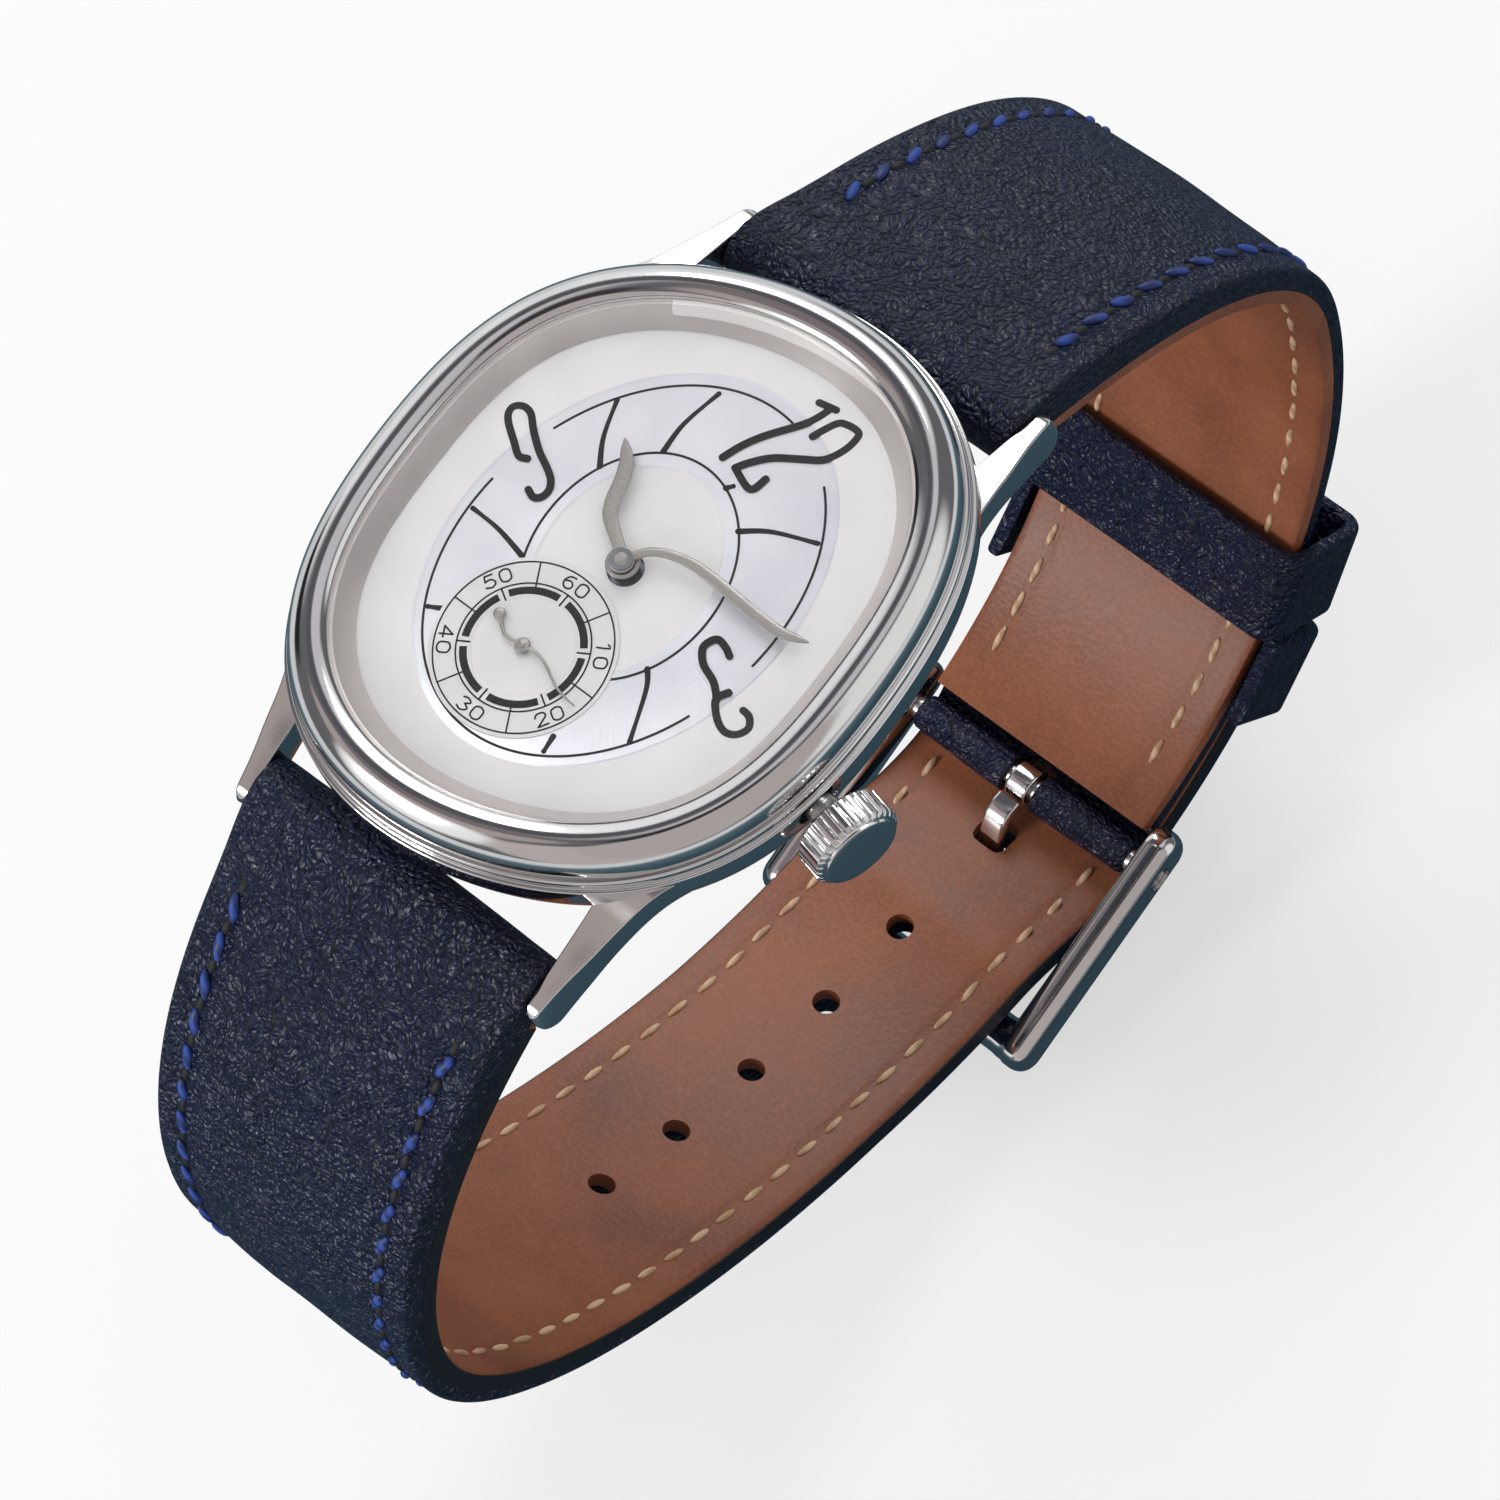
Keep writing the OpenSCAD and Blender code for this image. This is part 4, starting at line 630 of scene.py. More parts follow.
# Nylon gasket round the glass, milky and satin
CLEAR_GASKET = even("nylon, moulded, milky", 0.8, 2, "#c9ccd4", "#dfe1e6", 0.3, 0.42, IOR=1.5)
DIAL_MATTE = dial_silver("silver plate, fine grained", "#f3f0f2", "#faf8f9", 0.12, 0.5)
DIAL_FINE = dial_silver("silver plate, circular grained", "#e9e7e9", "#f2f0f1", 0.2, 0.45)
DIAL_SUNRAY = dial_silver("silver plate, sunray brushed", "#dcdde6", "#ecebf0", 0.6, 0.36, True)
FLANGE = dial_silver("nickel plate, satin", "#cfc8c5", "#dcd6d3", 0.5, 0.3)
# Black lacquer with a faintly uneven film
INK = even("lacquer ink, pad printed", 0.25, 3, "#030304", "#08080a", 0.35, 0.5, 0.005, 0.4, IOR=1.5,
           Specular_IOR_Level=0.1)
# Bead-blasted hands, a soft grey without reflections
HAND = even("nickel plate, satin blasted", 0.12, 3, "#96928e", "#a8a4a0", 0.44, 0.56, 0.006, 0.5,
            Metallic=1.0)
RUBBER = moulded("nitrile rubber, moulded", "#121214", "#1d1d20", 0.6)
PLASTIC = moulded("acetal, moulded", "#c9c8c4", "#d8d7d3", 0.45)
PLATED_BRASS = plated("brass, rhodium plated", "#bdbbb6", "#cfcdc8", 0.3)
BRASS = plated("brass, gilt", "#b48a3c", "#c9a052", 0.28)
SPRING = plated("spring steel, tempered", "#6e7076", "#808288", 0.25)
BLUED = plated("steel, heat blued", "#1c2f6b", "#27408c", 0.18)
# Ruby bearings, deep red and glassy
RUBY = even("synthetic ruby, polished", 0.3, 2, "#8f0f2d", "#b5153a", 0.04, 0.08, IOR=1.76)
NAVY = navy_leather()
LINING = lining_leather()
BLUE_THREAD = thread("linen thread, waxed, blue", "#142a63", "#23459a")
TAN_THREAD = thread("linen thread, waxed, natural", "#b58f6e", "#d3b08f")
# Painted shade: near-black beads in the gaps between the outer stitches stand for the awl holes in shade
AWL_SHADE = moulded("painted shade in the awl holes", "#04060c", "#090c16", 0.7)
# Acrylic edge paint, satin
EDGE_PAINT = moulded("acrylic edge paint, navy", "#070d18", "#0b1220", 0.55)

COAT_OF_SLOT = {
    "polished_steel": STEEL, "brushed_steel": GRAINED, "crystal": GLASS, "gasket": RUBBER,
    "clear_gasket": CLEAR_GASKET, "dial_silver": DIAL_MATTE, "dial_ink": INK, "hand_metal": HAND,
    "plated_brass": PLATED_BRASS, "brass": BRASS, "spring_steel": SPRING, "blued_steel": BLUED, "ruby": RUBY,
    "ring_plastic": PLASTIC, "navy_leather": NAVY, "lining_leather": LINING,
}
# Painted shade: the wheels seen through the gaps of the hands' hub get dark spring steel instead of their slot's
# material, for the shade under the hub
SHADE_PAINTED_NODES = ("hour_wheel", "cannon_pinion")

STEP_Z = BEZEL_Z - TIER_H


def build_case():
    """Case band with its rounded foot, flank, ledge and step, and the four lugs."""
    r, low, tip, x0 = CASE_R, BACK_Z, LUG_TIP_Y, LUG_IN_X
    section = [(CAVITY_R, low),
               *offset(r, low, [(-1.75, 0), (-1.25, 0.7), (-0.65, 1.7), (-0.15, 2.5), (0, 3)]), (r, STEP_Z),
               (r - TIER_W, STEP_Z + 0.02), (r - TIER_W, BEZEL_Z), (CAVITY_R, BEZEL_Z)]
    eases = [0.05, 0.3, 0.5, 0.6, 0.5, 0.4, 0.12, 0.06, 0.28, 0.03]
    band = head_ring(rounded(section, eases, 5))
    flank = spline(offset(tip, x0 + LUG_TIP_W, [
        (-12.4, 3.4), (-11.4, 3), (-9, 1.8), (-6.1, 0.8), (-3, 0.22), (-0.7, 0), (-0.25, -0.1), (-0.06, -0.28),
        (0, -0.45)]))
    inner = np.array(offset(tip, x0, [(-13, 0), (-0.5, 0), (-0.2, 0.12), (-0.05, 0.3), (0, 0.5)]))
    top = spline(offset(tip, STEP_Z, [(-13, -0.05), (-9, -0.45)]) + offset(tip, LUG_TIP_Z, [
        (-6, 1.9), (-3, 0.85), (-0.9, 0.12), (-0.45, -0.08), (-0.12, -0.38), (0, -0.62)]))
    under = spline(offset(tip, LUG_FOOT_Z, [
        (-13, 4.4), (-9, 3.5), (-6, 2), (-3.4, 0.75), (-1.5, 0.06), (-0.9, 0.1), (-0.35, 0.5), (-0.1, 0.9),
        (0, 1.25)]))
    along = np.r_[np.linspace(tip - 10.9, tip - 1, 44), tip - 1 + np.linspace(0.08, 1, 14)]
    for sx in (1, -1):
        for sy in (1, -1):
            rings = []
            for y in along:
                xa, xb, za, zb = (np.interp(y, *line.T) for line in (inner, flank, under, top))
                facet = 0.03 + 0.05 * ease((y - (tip - 10)) / 5)
                inward = 0.35 * ease((y - (tip - 5)) / 5)
                xc = xb - inward
                corners = [(xa, za), (xb, za), (xc, zb - facet * 0.8), (xc - facet, zb), (xa, zb)]
                eased = rounded(corners, [0.25, 0.35, 0.07, 0.07, 0.12], 4)
                rings.append([(sx * q[0], sy * y, q[1]) for q in eased])
            skin(band, rings)
    piece(band, "case_band_and_lugs", HEAD, STEEL, ["case_middle"], 24)


def build_bezel():
    """Domed bezel, one smooth curve from its foot to the rim of the glass."""
    r, seat = BEZEL_FOOT_R, CRYSTAL_R + GASKET_T + 0.03
    dome = spline([*offset(r, BEZEL_Z, [(-0.02, 0.28), (-0.05, 0.8), (-0.24, 1.36), (-0.6, 1.82)]),
                   *offset(r, CREST_Z, [(-1.1, -0.1), (-1.55, -0.005), (-1.95, -0.07), (-2.25, -0.19)]),
                   (r - 2.45, RIM_Z + 0.15)], 6)
    lip = offset(r, RIM_Z, [(-2.47, 0.1), (-2.45, 0.045)])
    section = [(seat, BEZEL_Z), (r - 0.12, BEZEL_Z), (r - 0.03, BEZEL_Z + 0.06), *dome, *lip,
               (seat, RIM_Z + 0.02)]
    piece(head_ring(section), "bezel_ring", HEAD, STEEL, ["bezel"], 28)


def scaled_line(f, z):
    """The crystal's outline shrunk towards the middle, at one height."""
    line = head_line(CRYSTAL_R, z)
    line[:, :2] *= f
    return line


def build_crystal():
    """Domed glass with a small bevel at its rim."""
    fs = np.r_[0.03, 0.12, np.linspace(0.22, 0.98, 14), 1]
    low = [scaled_line(f, CRYSTAL_Z + 0.405 * (1 - f * f)) for f in fs]
    high = [scaled_line(f, RIM_Z + 0.9 * (1 - f * f)) for f in fs[::-1]]
    high[0] = scaled_line(1, RIM_Z - 0.06)
    bm = skin(bmesh.new(), low + high)
    piece(bm, "crystal_dome", HEAD, GLASS, ["crystal"], 20)


def build_rings():
    """Crystal gasket, slanted inner ring and case back."""
    ring = box_line(CRYSTAL_R + 0.03, CRYSTAL_Z - 0.1, CRYSTAL_R + GASKET_T, RIM_Z - 0.03, 0.05, 3)
    piece(head_ring(ring), "crystal_seal", HEAD, CLEAR_GASKET, ["crystal_gasket"])
    low, high = DIAL_Z + 0.03, CRYSTAL_Z - 0.03
    slope = rounded([(FLANGE_FOOT_R, low), (CRYSTAL_R, low), (CRYSTAL_R, high), (CRYSTAL_R - 0.3, high)],
                    [0.03, 0.02, 0.02, 0.05], 3)
    piece(head_ring(slope), "inner_ring", HEAD, FLANGE, ["inner_flange"])
    r, top, lip = CASE_R, BACK_Z - 0.03, CAVITY_R
    back = [(0.4, 0.0), *offset(r, 0, [(-7, 0), (-6.8, 0.05), (-6.5, 0.05), (-6.3, 0), (-2.6, 0), (-2.45, 0.04),
                                       (-2.14, 0.31), (-2.1, 0.4)]), (r - 2.1, top), (lip - 0.35, top),
            *offset(lip, BACK_Z, [(-0.35, 0.55), (-0.4, 0.6), (-1, 0.6)]), (lip - 1, top), (0.4, top)]
    bm = skin(bmesh.new(), [head_line(*q) for q in back])
    piece(bm, "back_cover", HEAD, GRAINED, ["case_back"])


def oval_reach(oval, a, grow=0):
    """Radius of a leaning ellipse, a degrees from 3 o'clock; its long axis is turned clockwise from 12."""
    w, l, turn = oval
    b = np.radians(90 - np.asarray(a, float) - turn)
    return 1 / np.hypot(np.sin(b) / (w + grow), np.cos(b) / (l + grow))


def build_dial():
    """Dial with a raised rim outside the outer oval, a sunk oval middle and a sunk seconds dial."""
    def steps(oval, *levels):
        return [level_line(oval_reach(oval, ANGLES, grow), h) for grow, h in levels]

    z, bottom, fillet = DIAL_Z, DIAL_Z - 0.4, 0.015
    mid, low = z - DIAL_STEP, z - 2 * DIAL_STEP
    edge = [head_line(DIAL_R, bottom), head_line(DIAL_R, z - 0.01), head_line(DIAL_R - 0.02, z)]
    body = steps(OUTER_OVAL, (0.68, z), (0.63, z - fillet), (0.57, mid + fillet), (0.52, mid))
    lip = steps(INNER_OVAL, (-0.62, mid), (-0.67, mid - fillet), (-0.74, low + fillet), (-0.8, low))
    eye = [level_line(1.05, h) for h in (low, bottom)]
    border = skin(bmesh.new(), [*edge[1:], body[0]], caps=False)
    piece(border, "dial_border", HEAD, DIAL_MATTE, ["dial_plate"])
    blank = skin(bmesh.new(), edge[:2], caps=False)
    skin(blank, [eye[1], edge[0]], caps=False)
    piece(blank, "dial_blank", HEAD, DIAL_MATTE)
    piece(skin(bmesh.new(), [*body, lip[0]], caps=False), "dial_hour_zone", HEAD, DIAL_SUNRAY)
    piece(skin(bmesh.new(), [*lip, *eye], caps=False), "dial_middle", HEAD, DIAL_MATTE)
    # Seconds dial: a low disc with a sunk middle, laid over the recess
    top = SUB_TOP
    discs = [(SUB_R + 0.22, low - 0.02), (SUB_R + 0.22, top - 0.02), (SUB_R + 0.2, top),
             *offset(SUB_SUNK, top, [(0.05, 0), (0, -0.01), (-0.05, -0.04), (-0.1, -0.048)]),
             (0.35, top - 0.048), (0.35, z - 0.3)]
    lines = [level_line(r, h, SUB_AT) for r, h in discs]
    piece(skin(bmesh.new(), lines, caps=False), "seconds_dial", HEAD, DIAL_FINE)


HOUR_TOP = DIAL_Z - DIAL_STEP
SUB_TOP = HOUR_TOP + SUB_RISE


def on_dial(points):
    """Points read off the dial's face, in 48ths of a millimetre, as millimetres from the hands' axis."""
    return [((x - 720) / 48, (816 - y) / 48 + 0.43) for x, y in points]


def stroke(bm, line, width, z=HOUR_TOP, thick=INK_T, steps=7, taper=((0, 1), (1, 1))):
    """Flat printed stroke with round ends along a smooth line."""
    q = spline(line, steps)
    side = left_of(q)
    half = (width / 2 * np.interp(np.linspace(0, 1, len(q)), *zip(*taper)))[:, None]
    ends = []
    for at, sign in ((-1, 1), (0, -1)):
        ahead, spread = across(side[at]) * sign, side[at] * sign
        ends.append([q[at] + half[at] * (spread * math.cos(a) + ahead * math.sin(a))
                     for a in np.radians([22, 45, 67, 90, 113, 135, 158])])
    outline = [*(q + side * half), *ends[0], *(q - side * half)[::-1], *ends[1]]
    return skin(bm, [[(*p, h) for p in outline] for h in (z - 0.01, z + thick)])


def band(bm, outer, inner, z, centre=(0, 0), a0=0, a1=360, sides=144):
    """Printed band between two radii, numbers or functions of the angle, whole or between two angles."""
    whole = a1 - a0 >= 360
    angles = np.linspace(a0, a1, sides + 1)[:-1] if whole else np.linspace(a0, a1, sides)
    levels = [(outer, z - 0.01), (outer, z + INK_T), (inner, z + INK_T), (inner, z - 0.01)]
    lines = [level_line(r(angles) if callable(r) else r, h, centre, angles) for r, h in levels]
    if whole:
        return skin(bm, [*lines, lines[0]], join=True)
    return skin(bm, [[ring[k] for ring in lines] for k in range(len(angles))])


def oval_band(bm, oval, centre, a0, a1, sides):
    """Printed line of 0.14 mm along an oval, between two angles."""
    band(bm, lambda a: oval_reach(oval, a) + 0.07, lambda a: oval_reach(oval, a) - 0.07, HOUR_TOP, centre,
         a0, a1, sides)


# Centre lines of the numerals' strokes, as on_dial takes them
NUMERALS = {
    "one": [[(825, 185), (875, 175)],
            [(862, 178), (838, 245), (775, 335), (742, 395), (722, 452)]],
    "two": [[(873, 268), (900, 205), (925, 190), (960, 188), (970, 205), (965, 250), (940, 300), (890, 335),
             (830, 375), (790, 420), (768, 455)],
            [(768, 455), (838, 478), (853, 432)]],
    "three": [[(1098, 862), (1075, 850), (1045, 845), (1030, 865), (1030, 890), (1060, 920), (1110, 940),
               (1145, 968), (1155, 985), (1190, 1015), (1225, 1028), (1255, 1015), (1268, 985), (1250, 960),
               (1225, 955)],
              [(1145, 968), (1162, 940)]],
    "nine": [[(310, 755), (285, 762), (250, 740), (205, 710), (185, 690), (180, 670), (190, 655),
              (210, 648), (235, 655), (270, 685), (320, 720), (370, 745), (400, 765), (415, 790),
              (412, 815), (395, 828), (370, 820)]],
}
HOUR_LINES = [
    [(890, 585), (960, 535), (1078, 488)],
    [(950, 1015), (985, 1060), (1045, 1195)],
    [(875, 1300), (882, 1345)],
    [(405, 1205), (372, 1222)],
    [(478, 970), (380, 950), (285, 945)],
    [(478, 660), (430, 590), (390, 490)],
    [(585, 530), (577, 440), (595, 320)],
    [(785, 512), (797, 497)],
]
# Strokes of the small figures, in a unit box
FIGURES = {
    "0": [[(0.5, 1), (0.12, 0.86), (0.05, 0.5), (0.12, 0.14), (0.5, 0), (0.88, 0.14), (0.95, 0.5),
           (0.88, 0.86), (0.5, 1)]],
    "1": [[(0.25, 0.8), (0.55, 1), (0.55, 0)]],
    "2": [[(0.05, 0.75), (0.25, 0.98), (0.75, 0.98), (0.92, 0.7), (0.5, 0.35), (0.05, 0.02)],
          [(0.05, 0.02), (0.95, 0.02)]],
    "3": [[(0.08, 0.9), (0.5, 1), (0.88, 0.8), (0.5, 0.54)],
          [(0.5, 0.54), (0.95, 0.3), (0.5, 0), (0.05, 0.12)]],
    "4": [[(0.7, 0), (0.7, 1)],
          [(0.7, 1), (0.02, 0.3)],
          [(0.02, 0.3), (0.98, 0.3)]],
    "5": [[(0.85, 0.98), (0.2, 0.98)],
          [(0.2, 0.98), (0.12, 0.55)],
          [(0.12, 0.55), (0.6, 0.62), (0.93, 0.32), (0.6, 0), (0.06, 0.1)]],
    "6": [[(0.8, 0.95), (0.3, 0.85), (0.06, 0.4), (0.3, 0.02), (0.75, 0.02), (0.93, 0.32), (0.6, 0.58),
           (0.12, 0.42)]],
}


def build_print():
    """Everything printed on the dial: ovals, hour lines, numerals, seconds track and its figures."""
    bm = bmesh.new()
    for strokes in NUMERALS.values():
        for line in strokes:
            stroke(bm, on_dial(line), 0.42, DIAL_Z - 0.06, 0.085)
    for line in HOUR_LINES:
        stroke(bm, on_dial(line), 0.3, taper=[(0, 1.15), (0.5, 0.9), (0.8, 0.75), (1, 1)])
    # The outer oval leaves room round each numeral
    cuts = sorted((90 - b) % 360 for b in (19, 104, 282))
    room = [math.degrees(2.1 / oval_reach(OUTER_OVAL, c)) for c in cuts]
    for k in range(3):
        a0, a1 = cuts[k] + room[k], cuts[(k + 1) % 3] - room[(k + 1) % 3]
        a1 += 360 if a1 < a0 else 0
        oval_band(bm, OUTER_OVAL, (-0.05, -0.1), a0, a1, 120)
    # The inner oval stops at the seconds dial
    oval_band(bm, INNER_OVAL, (0.03, 0.19), INNER_FROM, INNER_TO, 160)
    for r in (SUB_R, 3.75):
        band(bm, r, r - 0.09, SUB_TOP, SUB_AT)
    c = np.array(SUB_AT)
    for k in range(6):
        band(bm, 3.5, 3.08, SUB_TOP, SUB_AT, 60 * k + 35, 60 * k + 85, 24)
        d, e = compass(60 * k + 30), compass(60 * k)
        stroke(bm, [c + 3.48 * d, c + 4.95 * d], 0.09, SUB_TOP, steps=2)
        stroke(bm, [c + 2.98 * e, c + 3.7 * e], 0.1, SUB_TOP, steps=2)
    for k, label in enumerate(("60", "10", "20", "30", "40", "50")):
        turn = (0, -60, 60, 0, -60, 60)[k]
        at = c + 4.35 * compass(60 * k)
        x, y = compass(90 - turn), compass(-turn)
        for j, digit in enumerate(label):
            for line in FIGURES[digit]:
                spots = [at + x * ((j - 0.5) * 0.9 + (across_x - 0.5) * 0.68) + y * (up_y - 0.5) * 0.76
                         for across_x, up_y in line]
                stroke(bm, spots, 0.1, SUB_TOP, steps=4 if len(line) > 3 else 2)
    piece(bm, "dial_printing", HEAD, INK, ["dial_print"])


def turned(points, bearing, at=(0, 0)):
    """Points drawn along 12 o'clock, turned to a bearing and moved to a place."""
    ahead, right = compass(bearing), compass(bearing + 90)
    return [np.array(at) + p[0] * right + p[1] * ahead for p in points]


def blade(bm, line, widths, z):
    """Domed hand blade along a smooth line."""
    q = spline(line, 10)
    half = np.interp(np.linspace(0, 1, len(q)), *zip(*widths)) / 2
    shape = [(-1, 0), (-1, 0.45), (-0.86, 0.75), (-0.5, 0.94), (0, 1), (0.5, 0.94), (0.86, 0.75), (1, 0.45),
             (1, 0)]
    return skin(bm, [[(*(p + v * h * x), z + HAND_T * y) for x, y in shape]
                     for p, v, h in zip(q, left_of(q), half)])


def turning(bm, z, profile, at=(0, 0), sides=72):
    """Solid of revolution about a vertical line; the profile runs from the axis round to the axis."""
    angles = np.arange(sides) * 360 / sides
    return skin(bm, [level_line(r, z + h, at, angles) for r, h in profile])


def build_hands():
    """Hour, minute and small seconds hands with their hubs and cap."""
    t = HAND_T
    bm, z = bmesh.new(), HOUR_Z
    line = HOUR_LEN * np.array([(-0.067, 0.249), (-0.1, 0.388), (-0.074, 0.522), (-0.021, 0.653),
                                (0.013, 0.787), (0.01, 0.89), (0, 1)])
    blade(bm, turned([(0, 0.4), *line], HOUR_BEARING),
          [(0, 0.62), (0.2, 0.78), (0.4, 0.9), (0.72, 0.86), (0.88, 0.6), (1, 0.08)], z)
    turning(bm, z, [(0.05, 0), (0.92, 0), (0.97, 0.04), (0.95, 0.1), (0.86, t), (0.05, t)])
    piece(bm, "hour_blade", "hour_group", HAND, ["hour_hand"], 50)
    bm, z = bmesh.new(), MINUTE_Z
    line = MINUTE_LEN * np.array([(-0.03, 0.03), (-0.09, 0.096), (-0.119, 0.198), (-0.119, 0.316),
                                  (-0.091, 0.449), (-0.053, 0.586), (-0.014, 0.724), (0.01, 0.854), (0, 1)])
    blade(bm, turned(line, MINUTE_BEARING),
          [(0, 0.5), (0.2, 0.52), (0.5, 0.68), (0.84, 0.72), (0.93, 0.5), (1, 0.06)], z)
    turning(bm, z, [(0.05, 0), (0.7, 0), (0.74, 0.05), (0.7, 0.11), (0.62, t), (0.05, t)])
    turning(bm, z + t, [(0.05, 0), (0.64, 0), (0.66, 0.04), (0.6, 0.11), (0.3, 0.15), (0.26, 0.15),
                        (0.24, 0.19), (0.05, 0.21)])
    piece(bm, "minute_blade", "minute_group", HAND, ["minute_hand"], 50)
    bm, z = bmesh.new(), SECOND_Z
    tail = SECOND_TAIL * np.array([(-0.08, -0.95), (0.14, -0.5), (0, 0)])
    line = SECOND_LEN * np.array([(-0.06, 0.2), (-0.05, 0.4), (0.02, 0.7), (0, 1)])
    blade(bm, turned([*tail, *line], SECOND_BEARING, SUB_AT),
          [(0, 0.2), (0.4, 0.22), (0.8, 0.15), (1, 0.09)], z)
    disc = turned([(-0.08 * SECOND_TAIL, -SECOND_TAIL)], SECOND_BEARING, SUB_AT)[0]
    for at, r in ((disc, 0.36), (SUB_AT, 0.45)):
        turning(bm, z, [(0.03, 0), (r - 0.03, 0), (r, 0.04), (r - 0.04, 0.1), (r * 0.6, t), (0.03, t)], at, 36)
    turning(bm, z + t, [(0.03, 0), (0.2, 0), (0.2, 0.05), (0.12, 0.09), (0.03, 0.1)], SUB_AT, 24)
    piece(bm, "seconds_blade", "seconds_group", HAND, ["seconds_hand"], 50)


def build_crown():
    """Crown with rounded flutes, a bevelled end and a recess behind."""
    # How far one flute stands out, all round it
    groove = np.tile([0, 0.5, 0.86, 0.97, 1, 1, 1, 1, 1, 0.97, 0.86, 0.5], FLUTES)
    # Distance out, radius and share of the flutes' depth
    stations = [(1.3, 0.5, 0), (1.3, 1.4, 0), (0.05, 1.4, 0), (0, 1.46, 0), (0, CROWN_R - 0.52, 0),
                (0.05, CROWN_R - 0.42, 0.1), (0.2, CROWN_R - 0.12, 0.6), (0.34, CROWN_R, 1), (1.86, CROWN_R, 1),
                (2.0, CROWN_R - 0.1, 0.7), (2.12, CROWN_R - 0.24, 0.15), (2.16, CROWN_R - 0.34, 0),
                (2.18, CROWN_R - 0.38, 0), (2.26, CROWN_R - 0.38, 0), (2.33, CROWN_R - 0.43, 0),
                (CROWN_LEN - 0.01, CROWN_R - 0.6, 0), (CROWN_LEN, CROWN_R - 0.7, 0), (CROWN_LEN, 0.2, 0)]
    a = 2 * math.pi * np.arange(len(groove)) / len(groove)
    c, s = math.cos(math.radians(HEAD_TURN)), math.sin(math.radians(HEAD_TURN))
    rings = []
    for along, r, cut in stations:
        reach = r - FLUTE_DEPTH * cut * (1 - groove)
        x, y = CROWN_X + along, reach * np.cos(a)
        rings.append(np.stack([x * c + y * s, y * c - x * s, STEM_Z + reach * np.sin(a)], 1))
    piece(skin(bmesh.new(), rings), "crown_knob", "crown_group", STEEL, ["crown"], 26)


def leather_line(w, n, t, crown, waves, edge, groove):
    """Section of a padded strap face: rounded edges, a flat margin with a stitch groove, a raised middle."""
    xs = np.linspace(edge - w, w - edge, 61)
    mid = np.clip(np.abs(xs) / (w - STITCH_IN), 0, 1.6)
    top = -crown * np.clip(mid, 0, 1) ** 2.6 - groove * np.exp(-((np.abs(xs) - w + STITCH_IN) / 0.3) ** 2)
    top -= 0.06 * np.clip((mid - 1.1) / 0.3, 0, 1)
    top += waves(xs) * np.clip(1.25 - mid, 0.25, 1)
    corner = n + top[0]
    left = [(-w, n - t), (-w, corner - edge)]
    left += [(-w + edge * (1 - math.cos(a)), corner - edge * (1 - math.sin(a)))
             for a in np.radians([25, 50, 70])]
    right = [(-x, h + top[-1] - top[0]) for x, h in left[:0:-1]]
    return [*left, *zip(xs, n + top), *right, (w, n - t)]


def calm(xs):
    return np.zeros(len(xs))


def creases(seed, s):
    """Creases and slow waves of handled leather across the strap at a distance along it."""
    rng = np.random.default_rng(seed)
    rows = [(rng.uniform(3, 60), rng.uniform(-6, 6), rng.uniform(0.25, 0.5), rng.uniform(0.03, 0.1),
             rng.uniform(2, 5), rng.uniform(-0.25, 0.25)) for _ in range(46)]
    swell = [(rng.uniform(0.3, 0.9), rng.uniform(0.15, 0.6), rng.uniform(0, 6)) for _ in range(5)]

    def height(xs):
        h = np.zeros(len(xs))
        for at, x0, wide, deep, reach, lean in rows:
            line = at + lean * (xs - x0) + 0.35 * np.sin(xs * 1.3 + at)
            h -= deep * np.exp(-((s - line) / wide) ** 2 - ((xs - x0) / reach) ** 2) * (1.2 if s < 30 else 0.5)
        for fx, fs, phase in swell:
            h += 0.02 * np.sin(fx * xs + fs * s + phase)
        return h
    return height


def roll_rings(bar, w, r, wall, up, ahead, angles, edge=0.3):
    """Rings of leather wrapped round a bar, from one angle to another; 0 is straight up."""
    line = leather_line(w, r, wall, CROWN_LOW, calm, edge, 0)
    return [set_at(line, bar, math.cos(a) * up + math.sin(a) * ahead) for a in np.radians(angles)]


def spot(u, half):
    """Distance along the loop and height above its line, at a distance from the lug end of one half."""
    if half == 12:
        return u, 0
    return LOOP_LEN - u, lap_at(LOOP_LEN - u)


# Length, fade of the padding, seed of the creases, plain end, end of the stitch groove and its fade
HALVES = {12: (HALF_12, 8, 3, 4, 2.5, 1.5), 6: (HALF_6, 6, 8, 3, 8, 2)}


def leather_ring(u, half):
    """Outer leather of one half at a distance from its lug end: padded, creased, grooved for the stitches."""
    reach, fade, seed, plain, margin, margin_fade = HALVES[half]
    s, lift = spot(u, half)
    full = total_t(u) - LINING_T - SEAM
    t = min(full, ROLL_WALL + max(full - ROLL_WALL, 0) * ease((u - 0.9) / 1.5))
    if half == 12:
        last = ease((HALF_12 - 0.5 - u) / 3)
        t = ROLL_END_WALL * (1 - last) + t * last
    lump = ease((u - 0.5) / 6) * ease((reach - u) / fade)
    near = 1 - ease(u / 4)
    w = (half_w(u) if half == 12 else tip_w(u)) + LUG_FILL * near
    crown = CROWN_LOW + 0.24 * lump * (1 - 0.45 * ease(u / 45))
    waves = creases(seed, u) if 0.8 < u < reach - plain else calm
    edge = min(0.3 + 0.12 * lump - 0.16 * near, 0.4 * w)
    groove = 0.11 * ease((u - 4) / 1.5) * ease((reach - margin - u) / margin_fade)
    line = leather_line(w, ROLL_R + lift - ROLL_IN * (1 - ease(u / 3)), t, crown, waves, edge, groove)
    return set_at(line, on_loop(s, 0), outward(s))


